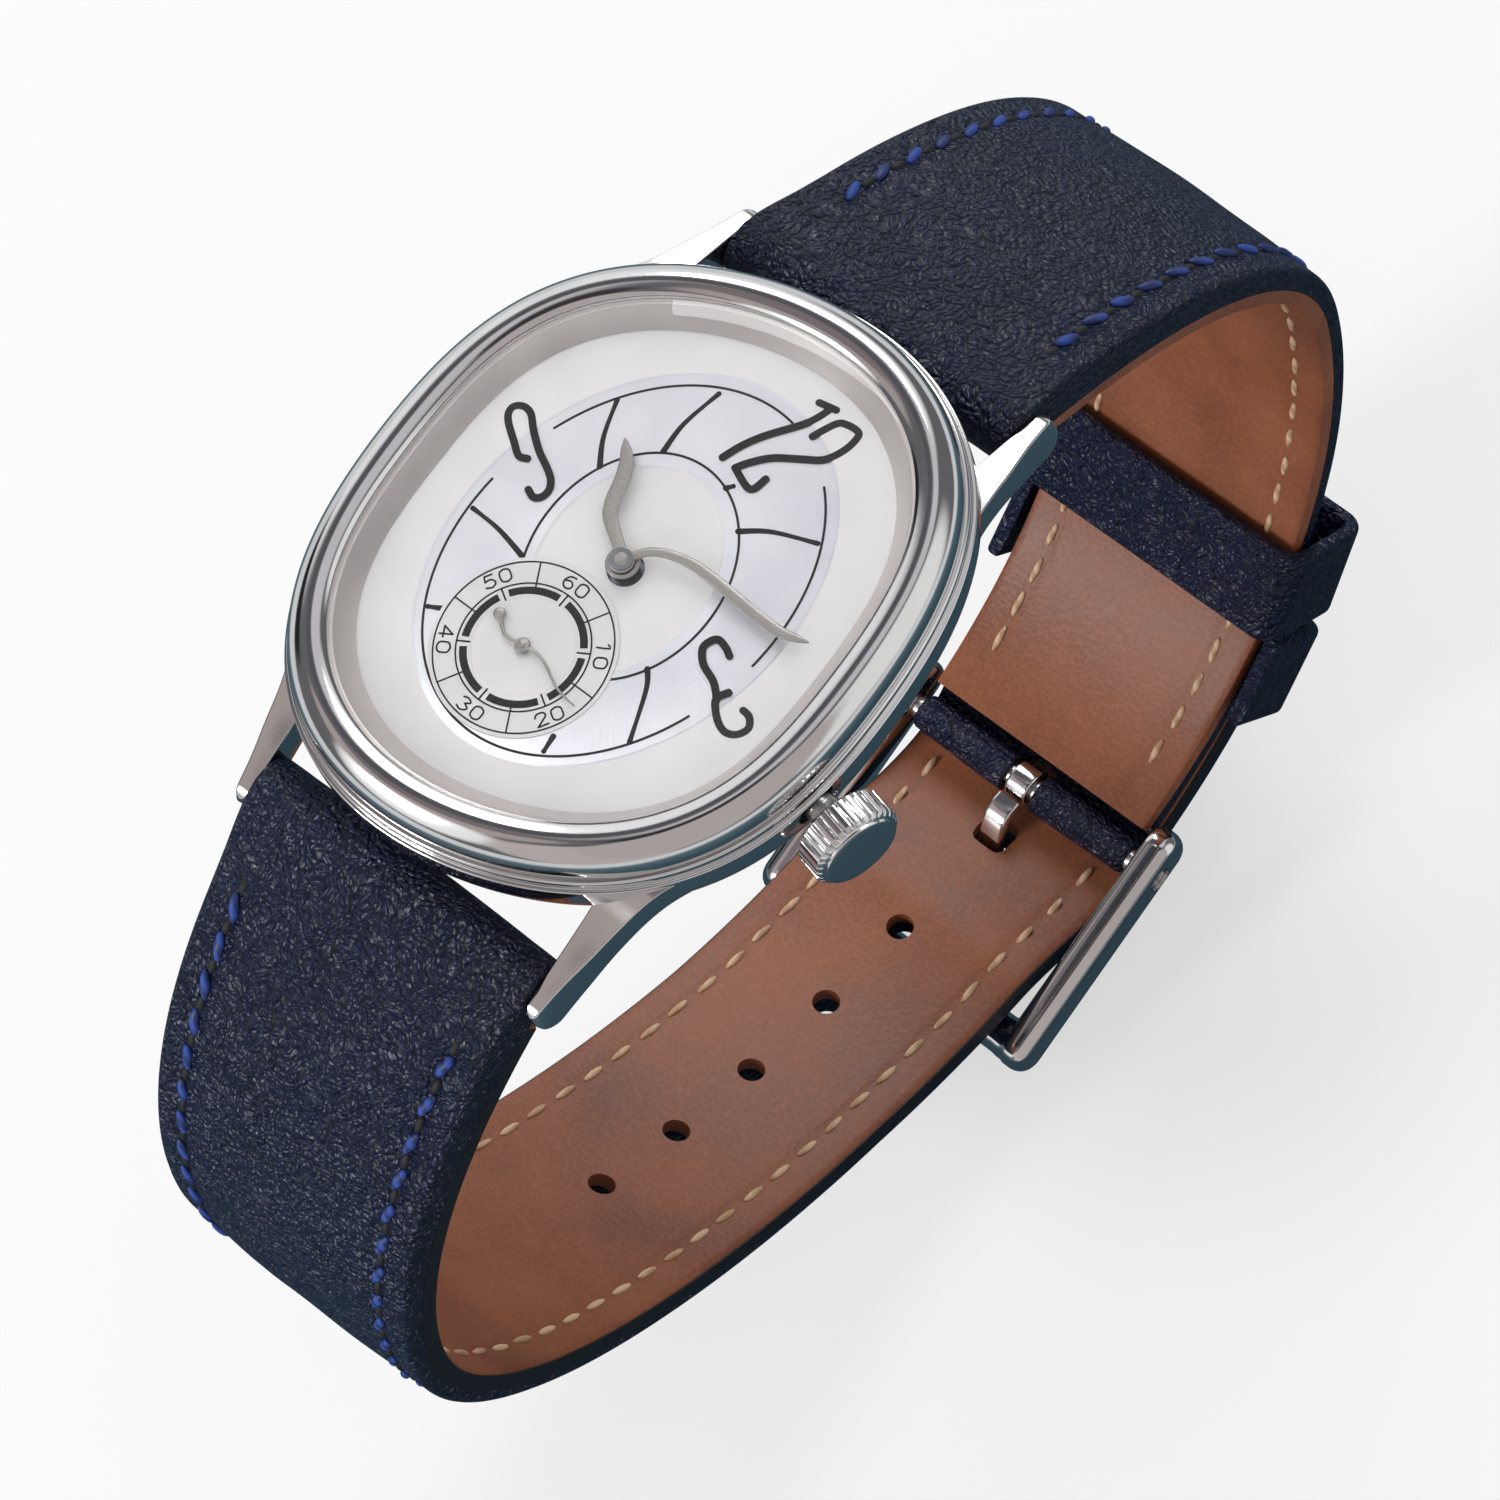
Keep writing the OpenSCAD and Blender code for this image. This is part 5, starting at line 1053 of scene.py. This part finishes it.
def cut_out(obj, cutters):
    """Cuts closed shapes out of a piece and keeps the result as its mesh."""
    tool = added(in_metres(cutters), "cutter")
    made = obj.modifiers.new("cut", "BOOLEAN")
    made.object = tool
    made.operation = "DIFFERENCE"
    made.solver = "EXACT"
    made.use_self = True
    cut = bpy.data.meshes.new_from_object(obj.evaluated_get(bpy.context.evaluated_depsgraph_get()))
    obj.modifiers.clear()
    spent = [obj.data, tool.data]
    obj.data = cut
    bpy.data.objects.remove(tool)
    for mesh in spent:
        bpy.data.meshes.remove(mesh)
    soften(cut, 38)


def pin_through(bm, centre, up, r, reach):
    """Closed cylinder through the strap at a YZ point, along a YZ direction."""
    turns = 2 * math.pi * np.arange(32) / 32
    return skin(bm, [[(r * math.sin(a), *(centre + r * math.cos(a) * across(up) + up * h)) for a in turns]
                     for h in (-reach, reach)])


def slot_through(bm, s):
    """Closed box through the strap, where the tongue's ring turns."""
    half = TONGUE_W / 2 + TONGUE_ROOM
    o, v = on_loop(s, 0), outward(s)
    outline = box_line(-half, -1.55, half, 2.55, 0.4)
    return skin(bm, [[(x, *(o + across(v) * y + v * h)) for x, y in outline] for h in (-6, 6)])


ON_FRONT = ROLL_R + LEATHER_GAP + 2 * FRONT_R + TONGUE_T / 2
TONGUE_LINE = spline([BUCKLE_BAR, on_loop(HALF_12 + 2.4, ROLL_R - 1.8),
                      on_loop(HALF_12 + 4.2, ROLL_R + lap_at(HALF_12 + 4.2) - 1.2),
                      on_loop(HALF_12 + 6, ROLL_R + lap_at(HALF_12 + 6) + LEATHER_GAP + TONGUE_T / 2),
                      on_loop(HALF_12 + BUCKLE_LEN - 2.6, ON_FRONT - 0.5),
                      on_loop(HALF_12 + BUCKLE_LEN, ON_FRONT + 0.02),
                      on_loop(HALF_12 + BUCKLE_LEN + 1.1, ON_FRONT + 0.05)], 8)
TONGUE_UP = left_of(TONGUE_LINE)


def tongue_hole(bm):
    """Closed stretched hole along the tongue."""
    half_t = TONGUE_T / 2 + TONGUE_ROOM
    half_x = TONGUE_W / 2 + TONGUE_ROOM
    rings = []
    for k, (p, up) in enumerate(zip(TONGUE_LINE[2:], TONGUE_UP[2:])):
        # More room on the outside, where the tongue swings up
        outline = box_line(-half_x, -half_t, half_x, half_t + 0.7 * ease(k / 20), 0.7)
        rings.append(set_at(outline, p, up))
    return skin(bm, rings)


def lining_line(w, n):
    """Section of the lining, from its wrist side at n up to the seam."""
    r = 0.22
    left = [(-w, n + LINING_T), (-w, n + r), (-w + 0.06, n + 0.08), (-w + r, n)]
    xs = np.linspace(-w + 0.6, w - 0.6, 41)
    groove = 0.08 * np.exp(-((np.abs(xs) - w + STITCH_IN) / 0.3) ** 2)
    return [*left, *zip(xs, n + groove), *[(-x, h) for x, h in left[::-1]]]


def build_strap(half):
    """One half of the strap: its outer leather, rolled round its bars, and its lining."""
    twelve = half == 12
    side = 1 if twelve else -1
    up = outward(0 if twelve else LOOP_LEN)
    rings = roll_rings((side * BAR_Y, BAR_Z), half_w(0) + LUG_FILL, ROLL_R - ROLL_IN, ROLL_WALL, up,
                       -side * across(up), np.linspace(172, 6, 24), 0.14)
    padded = np.linspace(0.25, 36, 130)
    if twelve:
        us = np.r_[padded, np.linspace(36.4, HALF_12 - 0.4, 90)]
        lining_us = np.linspace(2.35, HALF_12 - 1.9, 170)
    else:
        us = np.r_[padded, np.linspace(36.4, HALF_6 - TIP_LEN, 150),
                   HALF_6 - TIP_LEN * (1 - np.sin(np.radians(np.linspace(2, 88, 26))))]
        lining_us = us[(us > 2.35) & (us < HALF_6 - 0.3)]
    rings += [leather_ring(u, half) for u in us]
    if twelve:
        up = outward(HALF_12)
        rings += roll_rings(BUCKLE_BAR, half_w(HALF_12), ROLL_END_R, ROLL_END_WALL, up, across(up),
                            np.linspace(8, 316, 40))
    upper = piece(skin(bmesh.new(), rings), f"strap_upper_{half}", HEAD, NAVY,
                  [f"strap_{half}_leather"], 38)
    rings = []
    for u in lining_us:
        s, lift = spot(u, half)
        w = half_w(u) if twelve else tip_w(u)
        rings.append(set_at(lining_line(w - 0.02, ROLL_R + lift - total_t(u)), on_loop(s, 0), outward(s)))
    lining = piece(skin(bmesh.new(), rings), f"strap_lining_{half}", HEAD, LINING,
                   [f"strap_{half}_lining"], 38)
    if twelve:
        cut_out(upper, slot_through(bmesh.new(), HALF_12))
        return
    for obj in (upper, lining):
        holes = bmesh.new()
        for k in range(1, 6):
            s = HALF_12 + 5 + k * HOLE_PITCH
            pin_through(holes, on_loop(s, ROLL_R + lap_at(s) - 1), outward(s), HOLE_D / 2, 4)
        tongue_hole(holes)
        cut_out(obj, holes)


def build_edge_paint():
    """Dark paint over the edge of the lining on the 6 o'clock half."""
    bm = bmesh.new()
    for sx in (-1, 1):
        rings = []
        for u in np.linspace(2.6, HALF_6 - 10, 150):
            s, lift = spot(u, 6)
            n0 = ROLL_R + lift - total_t(u) + 0.14
            n1 = n0 + LINING_T + 0.1
            x0, x1 = sx * (tip_w(u) - 0.1), sx * (tip_w(u) + 0.015)
            rings.append(set_at([(x0, n0), (x1, n0), (x1, n1), (x0, n1)], on_loop(s, 0), outward(s)))
        skin(bm, rings)
    piece(bm, "edge_paint_6", HEAD, EDGE_PAINT)


def stitch(bm, centre, up, long, thick, lean=0.0):
    """One stitch, a long bead half sunk in its groove and leaning a little."""
    along, up = np.array([0, *across(up)]), np.array([0, *up])
    a = along * math.cos(lean) + np.cross(along, up) * math.sin(lean)
    turn = Matrix((a, np.cross(up, a), up)).transposed().to_4x4()
    size = Matrix.Diagonal((long / 2, thick / 2, thick * 0.42, 1)) @ Matrix.Rotation(math.pi / 2, 4, "Y")
    bmesh.ops.create_uvsphere(bm, u_segments=10, v_segments=6, radius=1,
                              matrix=Matrix.Translation(centre) @ turn @ size)


def seam(u, half, under):
    """Where a stitch lies: its distance from the strap's middle, its YZ point and the way it faces."""
    s, lift = spot(u, half)
    depth = total_t(u) - 0.02 if under else 0.3 - 0.1 * ease(u / 45)
    return half_w(u) - STITCH_IN, on_loop(s, ROLL_R + lift - depth), outward(s) * (-1 if under else 1)


def stitch_rows(name, half, under, end):
    """Two rows of stitches along the edges of one half: blue outside, natural on the lining; outside, near-black
    beads between the stitches are painted shade in the awl holes.
    """
    coat, slot, long, thick, lean = ((TAN_THREAD, "lining_leather", 1.7, 0.45, 0) if under else
                                     (BLUE_THREAD, "navy_leather", 1.8, 0.64, 0.3))
    bm = bmesh.new()
    holes = bmesh.new()
    count = int((end - STITCH_START) / STITCH_PITCH)
    rng = np.random.default_rng(len(name))
    for sx in (-1, 1):
        # Painted shade: a flat dark bead in each gap between the outer stitches
        for k in range(0 if under else count + 2):
            x, point, up = seam(STITCH_START + (k - 0.5) * STITCH_PITCH, half, under)
            stitch(holes, (sx * x, *(point - 0.15 * up)), up, 1.15, 0.6)
        for k in range(count + 1):
            x, point, up = seam(STITCH_START + k * STITCH_PITCH + rng.uniform(-0.08, 0.08), half, under)
            at = (sx * (x + rng.uniform(-0.04, 0.04)), *point)
            stitch(bm, at, up, long * rng.uniform(0.94, 1.05), thick, sx * lean + rng.uniform(-0.06, 0.06))
    if under:
        holes.free()
    else:
        piece(holes, name.replace("stitches", "awl_hole_shade"), HEAD, AWL_SHADE, (), 80)
    piece(bm, name, HEAD, coat, (), 80)


def build_keeper(name, body, stands_for, points, closed, out, length):
    """Leather band of even thickness along a path round the strap, at a distance from the buckle's bar."""
    s = HALF_12 - out
    centre, up = on_loop(s, 0), outward(s)
    t = KEEPER_T / 2
    section = box_line(-t, -length / 2, t, length / 2, 0.34)
    path = np.array(points)
    rings = []
    for p, away in zip(path, -left_of(path, closed)):
        ring = []
        for off, along in section:
            belly = 0.06 * (1 - (2 * along / length) ** 2) if off > 0 else 0
            x, h = p + away * (off + belly)
            ring.append((x, *(centre + up * h + across(up) * along)))
        rings.append(ring)
    bm = skin(bmesh.new(), [*rings, rings[0]] if closed else rings, join=closed)
    piece(bm, name, body, NAVY, [stands_for], 50)


def build_keepers():
    """Fixed keeper, open towards the wrist, and the free keeper round both layers."""
    w = KEEPER_W / 2 + KEEPER_T / 2
    top = ROLL_R + LAP + LEATHER_GAP + KEEPER_T / 2
    low = ROLL_R - STRAP_T - LEATHER_GAP - KEEPER_SLACK - KEEPER_T / 2
    r = KEEPER_ROUND - KEEPER_T / 2

    def corner(cx, cz, a0):
        return [(cx + r * math.cos(a), cz + r * math.sin(a)) for a in np.radians(np.linspace(a0, a0 + 90, 9))]

    sides = [(w, z) for z in np.linspace(ROLL_R - STRAP_T + 0.02, top - r - 0.3, 8)]
    across_x = np.linspace(w - r - 0.4, -w + r + 0.4, 24)
    over = [*corner(w - r, top - r, 0), *[(x, top) for x in across_x], *corner(-w + r, top - r, 90)]
    arch = [*sides, *over, *[(-x, z) for x, z in sides[::-1]]]
    build_keeper("fixed_loop", HEAD, "fixed_keeper", arch, False, KEEPER_OUT, FIXED_LEN)
    heights = np.linspace(top - r - 0.4, low + r + 0.4, 6)
    loop = [*over, *[(-w, z) for z in heights], *corner(-w + r, low + r, 180), *[(-x, low) for x in across_x],
            *corner(w - r, low + r, 270), *[(w, z) for z in heights[::-1]]]
    build_keeper("free_loop", "keeper", "free_keeper", loop, True, FREE_OUT, FREE_LEN)


BUCKLE_RUN = (FRONT_BAR - BUCKLE_BAR) / np.linalg.norm(FRONT_BAR - BUCKLE_BAR)
BUCKLE_UP = -across(BUCKLE_RUN)
TURNS = 2 * math.pi * np.arange(48) / 48


def round_bar(centre, r, t):
    """YZ point on a circle in the buckle's own plane."""
    return centre + r * (math.cos(t) * BUCKLE_RUN + math.sin(t) * BUCKLE_UP)


def build_buckle():
    """Pin buckle: two arms with rounded edges and the front bar, drilled for the bar it turns on."""
    back = BUCKLE_BAR - ARM_BACK * BUCKLE_RUN
    bm = bmesh.new()
    # Distance out from the arm's inner face, and how far its outline is drawn in there
    insets = [(0, 0.4), (0.04, 0.26), (0.14, 0.13), (0.3, 0.04), (0.5, 0),
              *offset(ARM_W, 0, [(-0.95, 0), (-0.7, 0.03), (-0.45, 0.12), (-0.24, 0.26), (-0.08, 0.44), (0, 0.6)])]
    ways = [math.sin(a) * BUCKLE_RUN + math.cos(a) * BUCKLE_UP for a in np.radians(np.arange(25) * 7.5)]
    for sx in (-1, 1):
        rings = []
        for depth, inset in insets:
            r = ARM_R - inset
            outline = [*[FRONT_BAR + r * way for way in ways], *[back - r * way for way in ways]]
            rings.append([(sx * (ARM_X + depth), *q) for q in outline])
        skin(bm, rings)
    rings = []
    for x in (-ARM_X - 0.3, -ARM_X + 0.15, -ARM_X + 0.6, ARM_X - 0.6, ARM_X - 0.15, ARM_X + 0.3):
        r = FRONT_R if abs(x) < ARM_X - 0.3 else FRONT_R + 0.06
        rings.append([(x, *round_bar(FRONT_BAR, r, t)) for t in TURNS])
    skin(bm, rings)
    body = piece(bm, "buckle_body", "buckle", STEEL, ["buckle_frame"], 40)
    bore = [[(x, *round_bar(BUCKLE_BAR, BAR_R + BAR_FIT, t)) for t in TURNS] for x in (-14, 14)]
    cut_out(body, skin(bmesh.new(), bore))


def build_tongue():
    """Tongue, thinner towards its tip, with the ring that turns on the bar."""
    bm = bmesh.new()
    rings = []
    last = len(TONGUE_LINE) - 1
    for k in range(5, last + 1):
        f = k / last
        half_t = TONGUE_T / 2 * (1 - 0.3 * ease((f - 0.8) / 0.2)) * (0.8 if k == last else 1)
        half_x = TONGUE_W / 2 * (1 - 0.12 * ease((f - 0.85) / 0.15)) * (0.86 if k == last else 1)
        outline = box_line(-half_x, -half_t, half_x, half_t, [0.2, 0.2, 0.42, 0.42])
        rings.append(set_at(outline, TONGUE_LINE[k], TONGUE_UP[k]))
    skin(bm, rings)
    section = box_line(-TONGUE_W / 2, BAR_R + BAR_FIT, TONGUE_W / 2, BAR_R + 0.5, [0.05, 0.05, 0.2, 0.2])
    rings = [[(x, *round_bar(BUCKLE_BAR, r, t)) for x, r in section] for t in TURNS]
    ring = skin(bmesh.new(), [*rings, rings[0]], join=True)
    spare = bpy.data.meshes.new("ring")
    ring.to_mesh(spare)
    ring.free()
    bm.from_mesh(spare)
    bpy.data.meshes.remove(spare)
    piece(bm, "tongue_pin", "tongue", STEEL, ["buckle_tongue"], 40)


def coat_frame():
    """Gives every node that keeps its plain shape the material of its slot; the wheels under the hands' hub get
    dark steel instead, as painted shade.
    """
    for part in frame["record"]["subparts"]:
        obj = bpy.data.objects.get(part["node"])
        if obj is None or obj.type != "MESH":
            continue
        obj.data.materials.clear()
        # Painted shade for the wheels under the hands' hub
        dark = part["node"] in SHADE_PAINTED_NODES
        obj.data.materials.append(SPRING if dark else COAT_OF_SLOT[part["material_slot"]])


coat_frame()
build_case()
build_bezel()
build_crystal()
build_rings()
build_dial()
build_print()
build_hands()
build_crown()
build_strap(12)
build_strap(6)
build_edge_paint()
stitch_rows("stitches_12", 12, False, HALF_12 - 4.5)
stitch_rows("stitches_6", 6, False, HALF_6 - 10.5)
stitch_rows("under_stitches_12", 12, True, HALF_12 - 5)
stitch_rows("under_stitches_6", 6, True, HALF_6 - 10.5)
build_keepers()
build_buckle()
build_tongue()


def flat(name, z, width, coat):
    """Level square sheet of the studio, in millimetres."""
    bm = bmesh.new()
    place = Matrix.Translation((0, 0, z * MM)) @ Matrix.Diagonal((width * MM / 2, width * MM / 2, 1, 1))
    bmesh.ops.create_grid(bm, x_segments=1, y_segments=1, size=1, matrix=place)
    obj = added(bm, name, coat)
    return obj


def glow(name, strength):
    """Material that shines evenly, for reflections; gives its tree and the input for its colour too."""
    made = bpy.data.materials.new(name)
    made.use_nodes = True
    tree = made.node_tree
    tree.nodes.clear()
    shine = node(tree, "ShaderNodeEmission", {"Strength": strength})
    node(tree, "ShaderNodeOutputMaterial", {"Surface": shine.outputs["Emission"]})
    return made, tree, shine.inputs["Color"]


def seen_white(tree, surface, share=1.0):
    """White, or a share of it, for the camera, in metal and through glass; else the given surface."""
    rays = node(tree, "ShaderNodeLightPath")
    seen = rays.outputs["Is Camera Ray"]
    for other in ("Is Glossy Ray", "Is Transmission Ray"):
        both = {0: seen, 1: rays.outputs[other]}
        seen = node(tree, "ShaderNodeMath", both, operation="MAXIMUM").outputs["Value"]
    part = node(tree, "ShaderNodeMath", {0: seen, 1: share}, operation="MULTIPLY")
    white = node(tree, "ShaderNodeEmission", {"Color": (1, 1, 1, 1), "Strength": 1.0})
    return node(tree, "ShaderNodeMixShader", {0: part.outputs["Value"], 1: surface,
                                              2: white.outputs["Emission"]}).outputs["Shader"]


# What polished surfaces show of the studio: direction, half angle and softness in degrees, colour
TENT_PARTS = [
    ((-0.85, 0.47, 0.25), 33, 8, "#f6f6fa"),
    ((-0.383, 0.74, 0.57), 24, 8, "#ffffff"),
    ((-0.37, -0.55, 0.75), 24, 3, "#b2a8a6"),
    ((-0.3, -0.88, 0.36), 20, 4, "#ffffff"),
    ((-0.05, 0.35, 0.93), 24, 6, "#cfcdd2"),
    ((0.82, 0.42, 0.4), 27, 7, "#f4f4f4"),
    ((0.22, -0.14, 0.96), 15, 2, "#3c3a3c"),
    ((0.5, -0.78, 0.35), 29, 2, "#c6bebc"),
    ((0.74, -0.36, 0.57), 35, 2, "#bcb5b3"),
    ((-0.34, -0.27, 0.9), 11, 2, "#82787a"),
    ((-0.383, 0.191, 0.904), 12, 5, "#5a5a60"),
    ((-0.97, -0.2, 0.1), 13, 4, "#26262a"),
]
TENT_CLOTH = "#6a6a6e"
# Blue paper under the watch, from its middle outwards
PAPER_SHADES = [(0.0, "#364a55"), (0.3, "#455e6b"), (0.6, "#5f7580"), (0.8, "#8296a0"), (1.0, "#f4f6f8")]
PAPER_REACH = 0.21
# Lamps: place, target, width and watts
LAMPS = {"key": ((-250, 410, 370), (0, 0, -10), 300, 1.7), "fill": ((-200, -510, 250), (0, 0, -20), 170, 2.3)}
# The photograph's camera, fitted to the lugs, the case and the crown
CAMERA_AT = (0.189916, -0.092591, 0.426008)
CAMERA_TURN = ((0.745303, -0.546027, 0.382593), (0.642017, 0.742533, -0.190944),
               (-0.179827, 0.387942, 0.903971))
CAMERA_LENS = 210.653


def tent():
    """Light tent: grey cloth with white panels, dark flags and warm walls, painted by direction."""
    paint, tree, shine = glow("tent cloth", 1.0)
    way = node(tree, "ShaderNodeVectorMath", {0: node(tree, "ShaderNodeTexCoord").outputs["Object"]},
               operation="NORMALIZE").outputs["Vector"]
    colour = linear(TENT_CLOTH)
    for centre, reach, soft, value in TENT_PARTS:
        aim = tuple(Vector(centre).normalized())
        near = node(tree, "ShaderNodeVectorMath", {0: way, 1: aim}, operation="DOT_PRODUCT").outputs["Value"]
        edge, inside = (math.cos(math.radians(reach + d)) for d in (soft, -soft))
        fac = node(tree, "ShaderNodeMapRange", {"Value": near, "From Min": edge, "From Max": inside},
                   interpolation_type="SMOOTHSTEP").outputs["Result"]
        both = {0: fac, 6: colour, 7: linear(value)}
        colour = node(tree, "ShaderNodeMix", both, data_type="RGBA").outputs[2]
    tree.links.new(colour, shine)
    bm = bmesh.new()
    bmesh.ops.create_icosphere(bm, subdivisions=4, radius=900 * MM)
    obj = added(bm, "tent", paint)
    return obj


def blue_paper(low):
    """Blue paper just above the floor, darker close to the watch."""
    paint, tree, shine = glow("paper, blue", 0.8)
    place = node(tree, "ShaderNodeTexCoord").outputs["Object"]
    away = node(tree, "ShaderNodeVectorMath", {0: place, 1: (0.02, 0.01, low * MM)}, operation="DISTANCE")
    fade = node(tree, "ShaderNodeMapRange", {"Value": away.outputs["Value"], "From Max": PAPER_REACH})
    tree.links.new(ramp(tree, fade.outputs["Result"], PAPER_SHADES), shine)
    return flat("paper_blue", low - 0.1, 1900, paint)


def only_in_metal(card):
    """Keeps a card out of everything but reflections."""
    for name in ("visible_camera", "visible_diffuse", "visible_shadow", "visible_transmission"):
        setattr(card, name, False)


def lamp(name, place, target, size, power):
    """Soft square lamp aimed at a point; places in millimetres."""
    data = bpy.data.lights.new(name, "AREA")
    data.shape = "RECTANGLE"
    data.size = data.size_y = size * MM
    data.energy = power
    obj = bpy.data.objects.new(name, data)
    obj.location = Vector(place) * MM
    aim = (Vector(target) - Vector(place)).normalized()
    obj.rotation_euler = aim.to_track_quat("-Z", "Y").to_euler()
    bpy.context.scene.collection.objects.link(obj)


def build_studio():
    """White sweep, soft lamps, reflections, camera and view."""
    scene = bpy.context.scene
    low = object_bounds()[0][2] / MM
    sweep = bpy.data.materials.new("paper sweep, white")
    sweep.use_nodes = True
    tree = sweep.node_tree
    shader = tree.nodes["Principled BSDF"]
    shader.inputs["Base Color"].default_value = linear("#f4f4f4")
    shader.inputs["Roughness"].default_value = 0.9
    seen = seen_white(tree, shader.outputs["BSDF"], 0.6)
    tree.links.new(seen, tree.nodes["Material Output"].inputs["Surface"])
    flat("sweep", low - 0.2, 3000, sweep)
    scene.world = bpy.data.worlds.new("studio")
    scene.world.use_nodes = True
    tree = scene.world.node_tree
    tree.nodes.clear()
    soft = node(tree, "ShaderNodeBackground", {"Color": linear("#ffffff"), "Strength": 0.45})
    node(tree, "ShaderNodeOutputWorld", {"Surface": seen_white(tree, soft.outputs["Background"])})
    for name, setting in LAMPS.items():
        lamp(name, *setting)
    only_in_metal(tent())
    only_in_metal(blue_paper(low))
    camera = bpy.data.cameras.new("camera")
    camera.lens = CAMERA_LENS
    camera.sensor_width = 36
    camera.clip_start = 0.01
    camera.clip_end = 20
    view = bpy.data.objects.new("camera", camera)
    view.matrix_world = Matrix.Translation(CAMERA_AT) @ Matrix(CAMERA_TURN).to_4x4()
    scene.collection.objects.link(view)
    scene.camera = view
    scene.view_settings.view_transform = "Standard"


build_studio()
